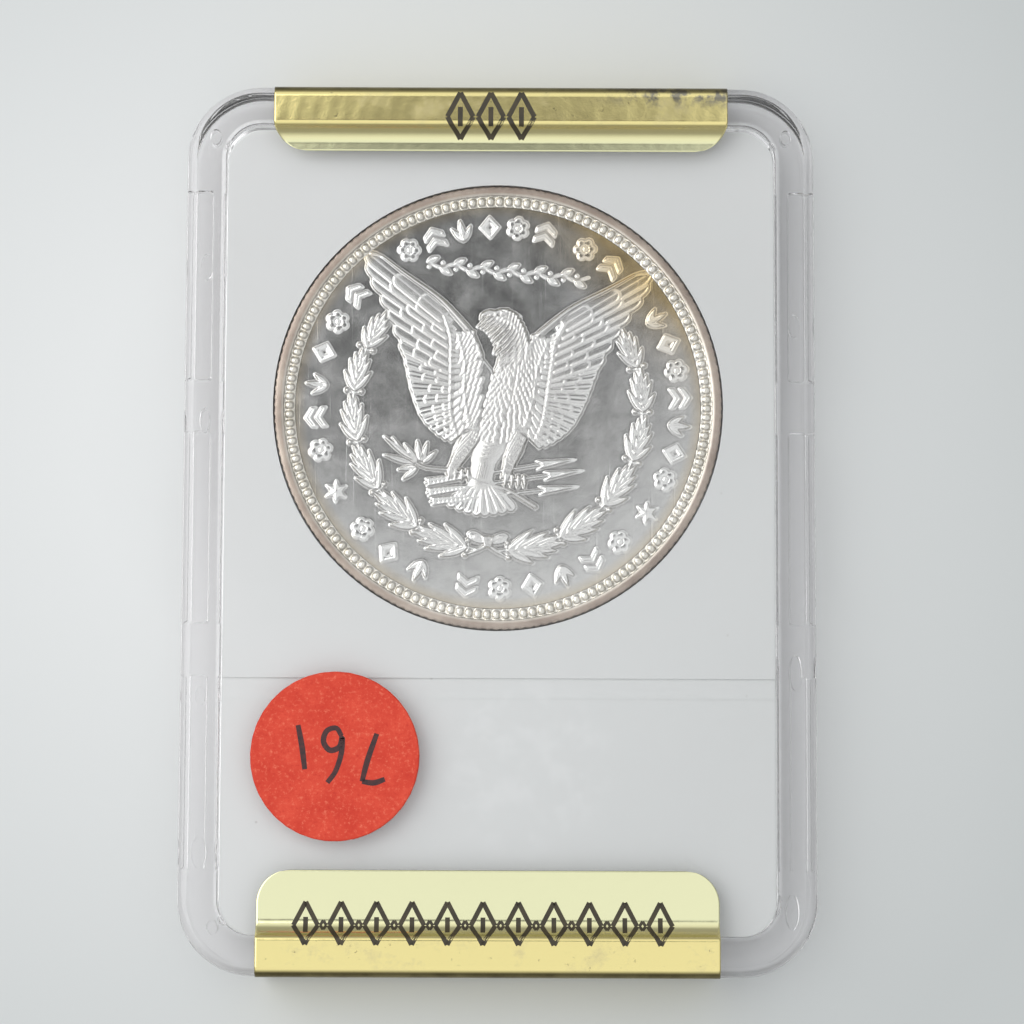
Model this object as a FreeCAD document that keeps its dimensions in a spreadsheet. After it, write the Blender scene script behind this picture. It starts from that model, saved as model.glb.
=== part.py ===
"""Graded coin slab: a large silver coin sealed between two clear shells, lying on its label side.

Frame: +Z up, +Y towards the coin end, -Y towards the label end, origin on the supporting
surface under the middle of the slab. Millimetres.
"""
import FreeCAD, Part
import math
import os
import Sketcher

Vector = FreeCAD.Vector
UP = Vector(0, 0, 1)

# ---------------------------------------------------------------- driving dimensions

DIMENSIONS = {
    # clear shells
    "slab_width": 53.3,
    "slab_length": 75.2,
    "slab_corner": 6.3,
    "shell_height": 3.86,
    "parting_height": 4.02,
    "parting_gap": 0.08,
    "rim_width": 3.4,
    "rim_outer_round": 0.85,
    "rim_inner_round": 0.45,
    "window_recess": 1.1,
    "window_thickness": 1.5,
    "window_corner": 2.9,
    "cavity_margin": 0.25,
    # weld line: a tongue in three runs along each side and one run across each end
    "tongue_width": 1.3,
    "tongue_height": 0.8,
    "tongue_inset": 1.4,
    "tongue_corner": 0.25,
    "tongue_run": 16.2,
    "tongue_pitch": 20.7,
    "tongue_end_run": 36.0,
    "weld_clearance": 0.09,
    "peg_height": 1.24,
    # notches that a pry tool would enter, halfway along each side
    "notch_run": 8.7,
    "notch_depth": 0.3,
    "notch_rise": 0.5,
    # white insert
    "insert_thickness": 2.3,
    "insert_clearance": 0.2,
    "groove_width": 1.8,
    "groove_depth": 0.18,
    "groove_offset": -13.6,
    # coin
    "coin_diameter": 38.1,
    "coin_thickness": 2.4,
    "coin_rim_width": 0.85,
    "coin_field_depth": 0.3,
    "coin_chamfer": 0.12,
    "coin_across": -0.15,
    "coin_offset": 10.4,
    "coin_clearance": 0.08,
    # paper label in a recess in the front of the insert
    "label_width": 45.6,
    "label_length": 18.8,
    "label_thickness": 0.25,
    "label_corner": 0.8,
    "label_offset": -24.7,
    "label_recess": 0.35,
    "label_clearance": 0.15,
    # foil end seals
    "foil_thickness": 0.1,
    "foil_width": 38.6,
    "foil_gap": 0.02,
    "foil_corner": 2.8,
    "foil_slope": 60.0,
    "coin_seal_back": 5.4,
    "coin_seal_front": 7.6,
    "label_seal_back": 8.8,
    "label_seal_front": 4.2,
    "coin_seal_shift": 0.0,
    "label_seal_shift": -0.8,
    # round price sticker on the back window
    "sticker_diameter": 14.2,
    "sticker_thickness": 0.12,
    "sticker_across": -13.66,
    "sticker_along": -19.36,
    # how far cuts run past what they cut
    "cut_past": 1.0,
}

# oval locating pegs: across (as a share of the tongue line's distance from the middle), along,
# half width and half length
PEGS = [
    (-0.965, 33.5, 0.42, 0.60),
    (-0.99, 22.2, 0.42, 1.05),
    (-0.99, 9.0, 0.36, 1.00),
    (-0.99, -14.3, 0.36, 0.70),
    (-0.99, -27.4, 0.55, 1.25),
    (-0.943, -33.6, 0.42, 0.52),
    (0.965, 33.6, 0.40, 0.56),
    (0.99, 17.3, 0.40, 0.90),
    (0.99, -12.2, 0.46, 1.45),
    (0.975, -32.2, 0.50, 1.40),
]

# sizes that sketches start from before their dimensions set the real ones
START_HALF_WIDTH = 20.0
START_HALF_LENGTH = 25.0
START_CORNER = 2.0
START_RADIUS = 5.0

doc = FreeCAD.newDocument("graded_coin_slab")
sheet = doc.addObject("Spreadsheet::Sheet", "Dimensions")
for row, (alias, value) in enumerate(DIMENSIONS.items(), start=1):
    sheet.set("A%d" % row, alias)
    sheet.set("B%d" % row, str(value))
    sheet.setAlias("B%d" % row, alias)
doc.recompute()


def size(alias):
    """A driving dimension, read back from the sheet."""
    return float(sheet.get(alias))


# ---------------------------------------------------------------- sketch and feature helpers

def new_body(label):
    body = doc.addObject("PartDesign::Body", label)
    body.Label = label
    return body


def origin_plane(body, role):
    return next(item for item in body.Origin.OriginFeatures if item.Role == role)


def new_sketch(body, name, across="0", along="0", height="0", role="XY_Plane"):
    """A sketch on one of the body's own planes, shifted by three expressions."""
    sketch = body.newObject("Sketcher::SketchObject", name)
    sketch.AttachmentSupport = [(origin_plane(body, role), "")]
    sketch.MapMode = "FlatFace"
    for axis, shift in zip("xyz", (across, along, height)):
        sketch.setExpression("AttachmentOffset.Base." + axis, shift)
    return sketch


def drive(sketch, name, constraint, expression):
    """Add a dimension to a sketch and bind it to the sheet."""
    index = sketch.addConstraint(constraint)
    sketch.renameConstraint(index, name)
    sketch.setExpression("Constraints." + name, expression)


def add_rounded_rectangle(sketch, width, length, radius):
    """A centred rectangle with round corners; the three sizes are expressions."""
    half_width, half_length, corner = START_HALF_WIDTH, START_HALF_LENGTH, START_CORNER
    inner_x, inner_y = half_width - corner, half_length - corner
    edges = [
        Part.LineSegment(Vector(-inner_x, -half_length), Vector(inner_x, -half_length)),
        Part.LineSegment(Vector(half_width, -inner_y), Vector(half_width, inner_y)),
        Part.LineSegment(Vector(inner_x, half_length), Vector(-inner_x, half_length)),
        Part.LineSegment(Vector(-half_width, inner_y), Vector(-half_width, -inner_y)),
    ]
    starts = [-90, 0, 90, 180]
    centres = [(inner_x, -inner_y), (inner_x, inner_y), (-inner_x, inner_y), (-inner_x, -inner_y)]
    for start, (x, y) in zip(starts, centres):
        circle = Part.Circle(Vector(x, y), UP, corner)
        edges.append(Part.ArcOfCircle(circle, math.radians(start), math.radians(start + 90)))
    sketch.addGeometry(edges, False)
    for side in range(4):
        arc = 4 + side
        following = (side + 1) % 4
        sketch.addConstraint(Sketcher.Constraint("Tangent", side, 2, arc, 1))
        sketch.addConstraint(Sketcher.Constraint("Tangent", arc, 2, following, 1))
        sketch.addConstraint(Sketcher.Constraint("Vertical" if side % 2 else "Horizontal", side))
    for arc in (5, 6, 7):
        sketch.addConstraint(Sketcher.Constraint("Equal", 4, arc))
    sketch.addConstraint(Sketcher.Constraint("Symmetric", 4, 3, 6, 3, -1, 1))
    drive(sketch, "corner", Sketcher.Constraint("Radius", 4, corner), radius)
    drive(sketch, "width", Sketcher.Constraint("DistanceX", 3, 1, 1, 1, 2 * half_width), width)
    drive(sketch, "length", Sketcher.Constraint("DistanceY", 0, 1, 2, 2, 2 * half_length), length)


def add_circle(sketch, radius):
    sketch.addGeometry(Part.Circle(Vector(0, 0), UP, START_RADIUS), False)
    sketch.addConstraint(Sketcher.Constraint("Coincident", 0, 3, -1, 1))
    drive(sketch, "radius", Sketcher.Constraint("Radius", 0, START_RADIUS), radius)


def add_fixed(sketch, edges):
    """Edges worked out from the sheet's values and held where they are."""
    for index in sketch.addGeometry(edges, False):
        sketch.addConstraint(Sketcher.Constraint("Block", index))


def feature(body, kind, name, sketch, length, flip=False, midplane=False):
    item = body.newObject("PartDesign::" + kind, name)
    item.Profile = sketch
    item.setExpression("Length", length)
    item.Reversed = flip
    item.Midplane = midplane
    sketch.Visibility = False
    doc.recompute()
    return item


def pad(body, name, sketch, length, **options):
    return feature(body, "Pad", name, sketch, length, **options)


def pocket(body, name, sketch, length, **options):
    """A cut that must take something away."""
    before = body.Shape.Volume
    item = feature(body, "Pocket", name, sketch, length, **options)
    if not body.Shape.Volume < before:
        raise RuntimeError(name + " cuts nothing")
    return item


def round_edges(body, name, radius, wanted, kind="Fillet"):
    """Round or chamfer the edges of the body's tip that the test picks."""
    tip = body.Tip
    names = []
    for number, edge in enumerate(tip.Shape.Edges, start=1):
        if wanted(edge):
            names.append("Edge%d" % number)
    if not names:
        raise RuntimeError(name + " finds no edge")
    item = body.newObject("PartDesign::" + kind, name)
    item.Base = (tip, names)
    item.setExpression("Radius" if kind == "Fillet" else "Size", radius)
    doc.recompute()
    return item


def lies_at(edge, height):
    box = edge.BoundBox
    return abs(box.ZMin - height) < 1e-4 and abs(box.ZMax - height) < 1e-4


# ---------------------------------------------------------------- clear shells

def run_outline(centre_x, centre_y, reach_x, reach_y):
    """One run of the weld tongue: a rectangle with small round corners."""
    corner = size("tongue_corner")
    corners = []
    for quarter, (side_x, side_y) in enumerate([(1, 1), (-1, 1), (-1, -1), (1, -1)]):
        centre = Vector(centre_x + side_x * (reach_x - corner), centre_y + side_y * (reach_y - corner))
        start = math.radians(90 * quarter)
        circle = Part.Circle(centre, UP, corner)
        corners.append(Part.ArcOfCircle(circle, start, start + math.radians(90)))
    edges = []
    for index, arc in enumerate(corners):
        following = corners[(index + 1) % len(corners)]
        edges += [arc, Part.LineSegment(arc.EndPoint, following.StartPoint)]
    return edges


def tongue_edges(clearance):
    """The weld tongue's outline, or the groove's when a clearance is given."""
    half_width = size("tongue_width") / 2 + clearance
    half_run = size("tongue_run") / 2 + clearance
    half_end_run = size("tongue_end_run") / 2 + clearance
    line_x = size("slab_width") / 2 - size("tongue_inset")
    line_y = size("slab_length") / 2 - size("tongue_inset")
    edges = []
    for side in (-1, 1):
        for step in (-1, 0, 1):
            edges += run_outline(side * line_x, step * size("tongue_pitch"), half_width, half_run)
        edges += run_outline(0, side * line_y, half_end_run, half_width)
    return edges


def peg_edges(clearance):
    line_x = size("slab_width") / 2 - size("tongue_inset")
    edges = []
    for share, along, half_width, half_length in PEGS:
        centre = Vector(share * line_x, along)
        tip = centre + Vector(0, half_length + clearance)
        flank = centre + Vector(half_width + clearance, 0)
        edges.append(Part.Ellipse(tip, flank, centre))
    return edges


def make_shell(label, front):
    """One clear shell. The front one lies face down and carries the weld tongue."""
    body = new_body(label)
    parting = "Dimensions.parting_height"
    outer = "Dimensions.parting_height + %s (Dimensions.parting_gap / 2 + Dimensions.shell_height)"
    face = outer % ("-" if front else "+")
    inward = "+" if front else "-"
    outline = new_sketch(body, label + "_outline", height=face)
    add_rounded_rectangle(outline, "Dimensions.slab_width", "Dimensions.slab_length",
                          "Dimensions.slab_corner")
    pad(body, label + "_block", outline, "Dimensions.shell_height", flip=not front)
    window = new_sketch(body, label + "_window", height=face)
    add_rounded_rectangle(window, "Dimensions.slab_width - 2 * Dimensions.rim_width",
                          "Dimensions.slab_length - 2 * Dimensions.rim_width",
                          "Dimensions.window_corner")
    pocket(body, label + "_recess", window, "Dimensions.window_recess", flip=front)
    depth = "(Dimensions.window_recess + Dimensions.window_thickness)"
    cavity = new_sketch(body, label + "_cavity", height="%s %s %s" % (face, inward, depth))
    add_rounded_rectangle(
        cavity,
        "Dimensions.slab_width - 2 * Dimensions.rim_width + 2 * Dimensions.cavity_margin",
        "Dimensions.slab_length - 2 * Dimensions.rim_width + 2 * Dimensions.cavity_margin",
        "Dimensions.window_corner + Dimensions.cavity_margin")
    pocket(body, label + "_chamber", cavity, "Dimensions.shell_height", flip=front)

    rim_face = size("parting_height")
    sign = -1 if front else 1
    rim_face += sign * (size("parting_gap") / 2 + size("shell_height"))
    half_width = size("slab_width") / 2
    longer_by = size("slab_length") / 2 - half_width
    mid_rim = half_width - size("rim_width") / 2

    def on_outer_edge(edge):
        box = edge.BoundBox
        across = max(abs(box.XMin), abs(box.XMax))
        along = max(abs(box.YMin), abs(box.YMax)) - longer_by
        return lies_at(edge, rim_face) and max(across, along) > mid_rim

    def on_inner_edge(edge):
        return lies_at(edge, rim_face) and not on_outer_edge(edge)

    round_edges(body, label + "_outer_round", "Dimensions.rim_outer_round", on_outer_edge)
    round_edges(body, label + "_inner_round", "Dimensions.rim_inner_round", on_inner_edge)

    meeting = "%s %s Dimensions.parting_gap / 2" % (parting, "-" if front else "+")
    for side in (-1, 1):
        name = "%s_notch_%s" % (label, "left" if side < 0 else "right")
        across = "%d * Dimensions.slab_width / 2" % side
        notch = new_sketch(body, name + "_outline", across=across, height=meeting)
        add_rounded_rectangle(notch, "2 * Dimensions.notch_depth", "Dimensions.notch_run",
                              "Dimensions.notch_depth / 2")
        pocket(body, name, notch, "Dimensions.notch_rise", flip=not front)

    weld = new_sketch(body, label + "_weld", height=meeting)
    pegs = new_sketch(body, label + "_pegs", height=meeting)
    if front:
        add_fixed(weld, tongue_edges(0))
        add_fixed(pegs, peg_edges(0))
        pad(body, label + "_tongue", weld, "Dimensions.tongue_height + Dimensions.parting_gap")
        pad(body, label + "_peg_row", pegs, "Dimensions.peg_height + Dimensions.parting_gap")
    else:
        clearance = size("weld_clearance")
        add_fixed(weld, tongue_edges(clearance))
        add_fixed(pegs, peg_edges(clearance))
        pocket(body, label + "_groove", weld, "Dimensions.tongue_height + Dimensions.weld_clearance",
               flip=True)
        pocket(body, label + "_sockets", pegs, "Dimensions.peg_height + Dimensions.weld_clearance",
               flip=True)
    return body


# ---------------------------------------------------------------- insert, coin and label

def make_insert():
    body = new_body("coin_insert")
    base = "Dimensions.parting_height - Dimensions.insert_thickness / 2"
    top = "Dimensions.parting_height + Dimensions.insert_thickness / 2"
    margin = "2 * (Dimensions.cavity_margin - Dimensions.insert_clearance - Dimensions.rim_width)"
    outline = new_sketch(body, "insert_outline", height=base)
    add_rounded_rectangle(outline, "Dimensions.slab_width + " + margin,
                          "Dimensions.slab_length + " + margin, "Dimensions.window_corner")
    pad(body, "insert_plate", outline, "Dimensions.insert_thickness")
    hole = new_sketch(body, "coin_hole_outline", across="Dimensions.coin_across",
                      along="Dimensions.coin_offset", height=top)
    add_circle(hole, "Dimensions.coin_diameter / 2 + Dimensions.coin_clearance")
    pocket(body, "coin_hole", hole, "Dimensions.insert_thickness + Dimensions.cut_past")
    recess = new_sketch(body, "label_recess_outline", along="Dimensions.label_offset", height=base)
    add_rounded_rectangle(recess, "Dimensions.label_width + 2 * Dimensions.label_clearance",
                          "Dimensions.label_length + 2 * Dimensions.label_clearance",
                          "Dimensions.label_corner")
    pocket(body, "label_recess_cut", recess, "Dimensions.label_recess", flip=True)
    groove = new_sketch(body, "cross_groove_outline", along="Dimensions.groove_offset", height=top)
    add_rounded_rectangle(groove, "Dimensions.slab_width", "Dimensions.groove_width",
                          "Dimensions.groove_depth")
    pocket(body, "cross_groove", groove, "Dimensions.groove_depth")
    return body


def make_coin():
    """The coin's blank form: a turned disc with a raised rim on both faces."""
    body = new_body("coin")
    sketch = new_sketch(body, "coin_half_section", across="Dimensions.coin_across",
                        along="Dimensions.parting_height", height="-Dimensions.coin_offset",
                        role="XZ_Plane")
    edge_radius = size("coin_diameter") / 2
    rim_inside = edge_radius - size("coin_rim_width")
    field_edge = rim_inside - size("coin_field_depth") / 2
    half_rim = size("coin_thickness") / 2
    half_field = half_rim - size("coin_field_depth")
    lower = [(0, -half_field), (field_edge, -half_field), (rim_inside, -half_rim),
             (edge_radius, -half_rim)]
    corners = lower + [(across, -height) for across, height in reversed(lower)]
    count = len(corners)
    lines = []
    for index, corner in enumerate(corners):
        following = corners[(index + 1) % count]
        lines.append(Part.LineSegment(Vector(*corner), Vector(*following)))
    sketch.addGeometry(lines, False)
    for index in range(count):
        sketch.addConstraint(Sketcher.Constraint("Coincident", index, 2, (index + 1) % count, 1))
    for level in (0, 2, 6):
        sketch.addConstraint(Sketcher.Constraint("Horizontal", level))
    sketch.addConstraint(Sketcher.Constraint("PointOnObject", 0, 1, -2))
    sketch.addConstraint(Sketcher.Constraint("PointOnObject", 6, 2, -2))
    sketch.addConstraint(Sketcher.Constraint("Symmetric", 2, 2, 4, 1, -1))
    sketch.addConstraint(Sketcher.Constraint("Symmetric", 2, 1, 4, 2, -1))
    sketch.addConstraint(Sketcher.Constraint("Symmetric", 1, 1, 5, 2, -1))
    radius = "Dimensions.coin_diameter / 2"
    drive(sketch, "radius", Sketcher.Constraint("DistanceX", -1, 1, 2, 2, edge_radius), radius)
    drive(sketch, "rim_inside", Sketcher.Constraint("DistanceX", -1, 1, 2, 1, rim_inside),
          radius + " - Dimensions.coin_rim_width")
    drive(sketch, "field_edge", Sketcher.Constraint("DistanceX", -1, 1, 1, 1, field_edge),
          radius + " - Dimensions.coin_rim_width - Dimensions.coin_field_depth / 2")
    drive(sketch, "rim_thickness", Sketcher.Constraint("DistanceY", 2, 2, 4, 1, 2 * half_rim),
          "Dimensions.coin_thickness")
    drive(sketch, "field_thickness", Sketcher.Constraint("DistanceY", 1, 1, 5, 2, 2 * half_field),
          "Dimensions.coin_thickness - 2 * Dimensions.coin_field_depth")
    disc = body.newObject("PartDesign::Revolution", "coin_disc")
    disc.Profile = sketch
    disc.ReferenceAxis = (sketch, ["V_Axis"])
    disc.Angle = 360.0
    doc.recompute()

    def on_rim_corner(edge):
        return edge.BoundBox.XLength > 2 * edge_radius - 1e-3

    round_edges(body, "coin_edge_chamfer", "Dimensions.coin_chamfer", on_rim_corner, kind="Chamfer")
    return body


def make_label():
    body = new_body("label_card")
    underside = ("Dimensions.parting_height - Dimensions.insert_thickness / 2"
                 " + Dimensions.label_recess - Dimensions.label_thickness - Dimensions.foil_gap")
    outline = new_sketch(body, "label_outline", along="Dimensions.label_offset", height=underside)
    add_rounded_rectangle(outline, "Dimensions.label_width", "Dimensions.label_length",
                          "Dimensions.label_corner")
    pad(body, "label_sheet", outline, "Dimensions.label_thickness")
    return body


# ---------------------------------------------------------------- foil seals and sticker

def seal_half(lift, reach):
    """Edges of one half of a seal's section, from its free tip to the middle of the end face.

    lift is the strip's distance from the plastic: the gap for its inner face, the gap and its
    thickness for its outer one. Heights are measured from the parting plane.
    """
    end = size("slab_length") / 2
    rim_face = size("parting_gap") / 2 + size("shell_height")
    window_face = rim_face - size("window_recess")
    outer_round = size("rim_outer_round")
    inner_round = size("rim_inner_round")
    slope = math.radians(size("foil_slope"))
    inner_centre = Vector(end - size("rim_width") + inner_round, rim_face - inner_round)
    outer_centre = Vector(end - outer_round, rim_face - outer_round)
    tip = Vector(end - reach, window_face + lift)
    leave = inner_centre + Vector(-math.sin(slope), math.cos(slope)) * (inner_round + lift)
    fold = Vector(leave.x - (leave.y - tip.y) / math.tan(slope), tip.y)
    crest = inner_centre + Vector(0, inner_round + lift)
    shoulder = outer_centre + Vector(0, outer_round + lift)
    side = outer_centre + Vector(outer_round + lift, 0)
    edges = []
    if fold.x > tip.x:
        edges.append(Part.LineSegment(tip, fold))
        edges.append(Part.LineSegment(fold, leave))
        edges.append(Part.ArcOfCircle(Part.Circle(inner_centre, UP, inner_round + lift),
                                      math.radians(90), math.radians(90) + slope))
    edges.append(Part.LineSegment(crest, shoulder))
    edges.append(Part.ArcOfCircle(Part.Circle(outer_centre, UP, outer_round + lift),
                                  0, math.radians(90)))
    edges.append(Part.LineSegment(side, Vector(side.x, 0)))
    return edges, tip


def mirrored_below(edges):
    """The same edges on the other side of the parting plane."""
    copies = []
    for edge in edges:
        if isinstance(edge, Part.LineSegment):
            start, stop = edge.StartPoint, edge.EndPoint
            copies.append(Part.LineSegment(Vector(start.x, -start.y), Vector(stop.x, -stop.y)))
        else:
            circle = Part.Circle(Vector(edge.Center.x, -edge.Center.y), UP, edge.Radius)
            copies.append(Part.ArcOfCircle(circle, -edge.LastParameter, -edge.FirstParameter))
    return copies


def corner_cut(half_width, tip_y, radius):
    """Regions outside the two round corners at a seal's free end."""
    margin = size("cut_past")
    edges = []
    for side in (-1, 1):
        past = side * (half_width + margin)
        edge_x = side * half_width
        centre = Vector(edge_x - side * radius, tip_y + radius)
        low = Vector(centre.x, tip_y)
        high = Vector(edge_x, centre.y)
        middle = centre + Vector(side, -1).normalize() * radius
        edges.append(Part.Arc(low, middle, high))
        edges.append(Part.LineSegment(high, Vector(past, high.y)))
        edges.append(Part.LineSegment(Vector(past, high.y), Vector(past, tip_y - margin)))
        edges.append(Part.LineSegment(Vector(past, tip_y - margin), Vector(low.x, tip_y - margin)))
        edges.append(Part.LineSegment(Vector(low.x, tip_y - margin), low))
    return edges


def make_seal(label, back_reach, front_reach, shift, turn):
    """A foil strip folded over one end of the slab, from the back window to the front one."""
    body = new_body(label)
    section = new_sketch(body, label + "_section", along="Dimensions.parting_height",
                         role="YZ_Plane")
    near = size("foil_gap")
    far = near + size("foil_thickness")
    edges = []
    tips = []
    for lift in (near, far):
        back, back_tip = seal_half(lift, size(back_reach))
        front, front_tip = seal_half(lift, size(front_reach))
        edges += back + mirrored_below(front)
        tips.append((back_tip, Vector(front_tip.x, -front_tip.y)))
    for inner_tip, outer_tip in zip(*tips):
        edges.append(Part.LineSegment(inner_tip, outer_tip))
    add_fixed(section, edges)
    pad(body, label + "_strip", section, "Dimensions.foil_width", midplane=True)
    half_width = size("foil_width") / 2
    for reach, name, flip in ((back_reach, "_back_corners", True), (front_reach, "_front_corners", False)):
        tip_y = size("slab_length") / 2 - size(reach)
        cut = new_sketch(body, label + name + "_outline", height="Dimensions.parting_height")
        add_fixed(cut, corner_cut(half_width, tip_y, size("foil_corner")))
        pocket(body, label + name, cut, "Dimensions.slab_width", flip=flip)
    body.Placement = FreeCAD.Placement(Vector(size(shift), 0, 0), FreeCAD.Rotation(UP, turn))
    return body


def make_sticker():
    body = new_body("price_sticker")
    surface = ("Dimensions.parting_height + Dimensions.parting_gap / 2 + Dimensions.shell_height"
               " - Dimensions.window_recess + Dimensions.foil_gap")
    outline = new_sketch(body, "sticker_outline", across="Dimensions.sticker_across",
                         along="Dimensions.sticker_along", height=surface)
    add_circle(outline, "Dimensions.sticker_diameter / 2")
    pad(body, "sticker_disc", outline, "Dimensions.sticker_thickness")
    return body


# ---------------------------------------------------------------- build, check and write

pieces = [
    make_shell("front_shell", front=True),
    make_shell("back_shell", front=False),
    make_insert(),
    make_coin(),
    make_label(),
    make_seal("coin_end_seal", "coin_seal_back", "coin_seal_front", "coin_seal_shift", 0),
    make_seal("label_end_seal", "label_seal_back", "label_seal_front", "label_seal_shift", 180),
    make_sticker(),
]
doc.recompute()

for item in doc.Objects:
    if "Invalid" in item.State or "Error" in item.State:
        raise RuntimeError("%s failed: %s" % (item.Label, item.State))

os.makedirs("parts", exist_ok=True)
for piece in pieces:
    shape = piece.Shape
    if shape.isNull() or not shape.isValid() or len(shape.Solids) != 1:
        raise RuntimeError(piece.Label + " is not one valid solid")
    shape.exportStep("parts/%s.step" % piece.Label)
    box = shape.BoundBox
    print("%-16s volume %8.2f mm3  x %.2f..%.2f  y %.2f..%.2f  z %.2f..%.2f" % (
        piece.Label, shape.Volume, box.XMin, box.XMax, box.YMin, box.YMax, box.ZMin, box.ZMax))
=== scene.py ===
"""Looks of the graded coin slab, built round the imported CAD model.

Shapes are written in millimetres, and make_object turns them into metres; materials, lights and
the camera are in metres. The slab lies on its label side: +Z is up, +Y points to the coin end.
"""
import math

import bpy
import numpy as np
from mathutils import Matrix, Vector


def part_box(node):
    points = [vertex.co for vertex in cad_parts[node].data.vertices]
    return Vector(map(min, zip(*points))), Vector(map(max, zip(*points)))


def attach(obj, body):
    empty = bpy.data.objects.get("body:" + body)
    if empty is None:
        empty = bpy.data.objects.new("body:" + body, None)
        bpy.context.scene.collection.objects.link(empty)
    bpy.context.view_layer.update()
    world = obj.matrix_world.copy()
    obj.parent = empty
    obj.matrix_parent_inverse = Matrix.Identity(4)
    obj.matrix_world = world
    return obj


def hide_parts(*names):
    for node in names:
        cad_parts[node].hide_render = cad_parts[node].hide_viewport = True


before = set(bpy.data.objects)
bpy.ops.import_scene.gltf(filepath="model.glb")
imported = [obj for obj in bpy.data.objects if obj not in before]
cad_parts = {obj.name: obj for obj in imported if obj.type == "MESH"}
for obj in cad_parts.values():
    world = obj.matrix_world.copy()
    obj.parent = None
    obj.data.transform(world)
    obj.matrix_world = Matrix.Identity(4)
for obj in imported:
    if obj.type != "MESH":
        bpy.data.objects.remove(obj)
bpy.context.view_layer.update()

MM = 0.001
COIN_TURN = math.radians(-4.0)      # of the coin's design against the case


def node_box(name):
    """Lowest and highest corner of a CAD node, in millimetres."""
    low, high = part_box(name)
    return np.array(low) / MM, np.array(high) / MM


# ---------------------------------------------------------------- places taken from the frame

coin_low, coin_high = node_box("coin")
COIN_RADIUS = (coin_high[0] - coin_low[0]) / 2
COIN_X, COIN_Y, COIN_Z = (coin_low + coin_high) / 2
COIN_TOP = coin_high[2]
FIELD_DEPTH = 0.3       # from the rims down to the field
RELIEF_RADIUS = 17.25   # of the field, inside the beads
SPLIT_RADIUS = 12.2     # between a face's inner and outer mesh
STEM_RADIUS = 12.3      # of the wreath's stems
BORDER_RADIUS = 15.5    # of the motifs' middles


# ---------------------------------------------------------------- mesh helpers

def make_object(name, vertices, faces, material, smooth=True):
    """A mesh object from millimetre points and faces of three or four corners."""
    mesh = bpy.data.meshes.new(name)
    points = np.asarray(vertices, dtype=np.float64) * MM
    faces = np.asarray(faces, dtype=np.int32)
    mesh.vertices.add(len(points))
    mesh.vertices.foreach_set("co", points.ravel())
    corners = faces.shape[1]
    mesh.loops.add(faces.size)
    mesh.loops.foreach_set("vertex_index", faces.ravel())
    mesh.polygons.add(len(faces))
    mesh.polygons.foreach_set("loop_start", np.arange(len(faces), dtype=np.int32) * corners)
    mesh.polygons.foreach_set("use_smooth", np.full(len(faces), smooth))
    mesh.update()
    mesh.validate()
    mesh.materials.append(material)
    item = bpy.data.objects.new(name, mesh)
    bpy.context.scene.collection.objects.link(item)
    return item


def add_attribute(item, name, values):
    layer = item.data.attributes.new(name, "FLOAT", "POINT")
    layer.data.foreach_set("value", np.asarray(values, dtype=np.float32).ravel())


def grid_faces(rows, columns, closed=False):
    """Quads of a grid stored row by row; closed joins the last column to the first."""
    last = columns if closed else columns - 1
    row, column = np.meshgrid(np.arange(rows - 1), np.arange(last), indexing="ij")
    following = (column + 1) % columns
    here = row * columns
    return np.stack([here + column, here + following, here + columns + following,
                     here + columns + column], axis=-1).reshape(-1, 4)


def catmull(points, amount):
    """Points of a Catmull-Rom curve through the given ones at shares 0 to 1 of its length."""
    points = np.asarray(points, dtype=float)
    padded = np.vstack([2 * points[0] - points[1], points, 2 * points[-1] - points[-2]])
    place = np.clip(np.asarray(amount, dtype=float), 0, 1) * (len(points) - 1)
    index = np.minimum(place.astype(int), len(points) - 2)
    part = (place - index)[..., None]
    a, b, c, d = (padded[index + step] for step in range(4))
    return 0.5 * (2 * b + (c - a) * part + (2 * a - 5 * b + 4 * c - d) * part ** 2
                  + (3 * b - a - 3 * c + d) * part ** 3)


# ---------------------------------------------------------------- node trees

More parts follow.
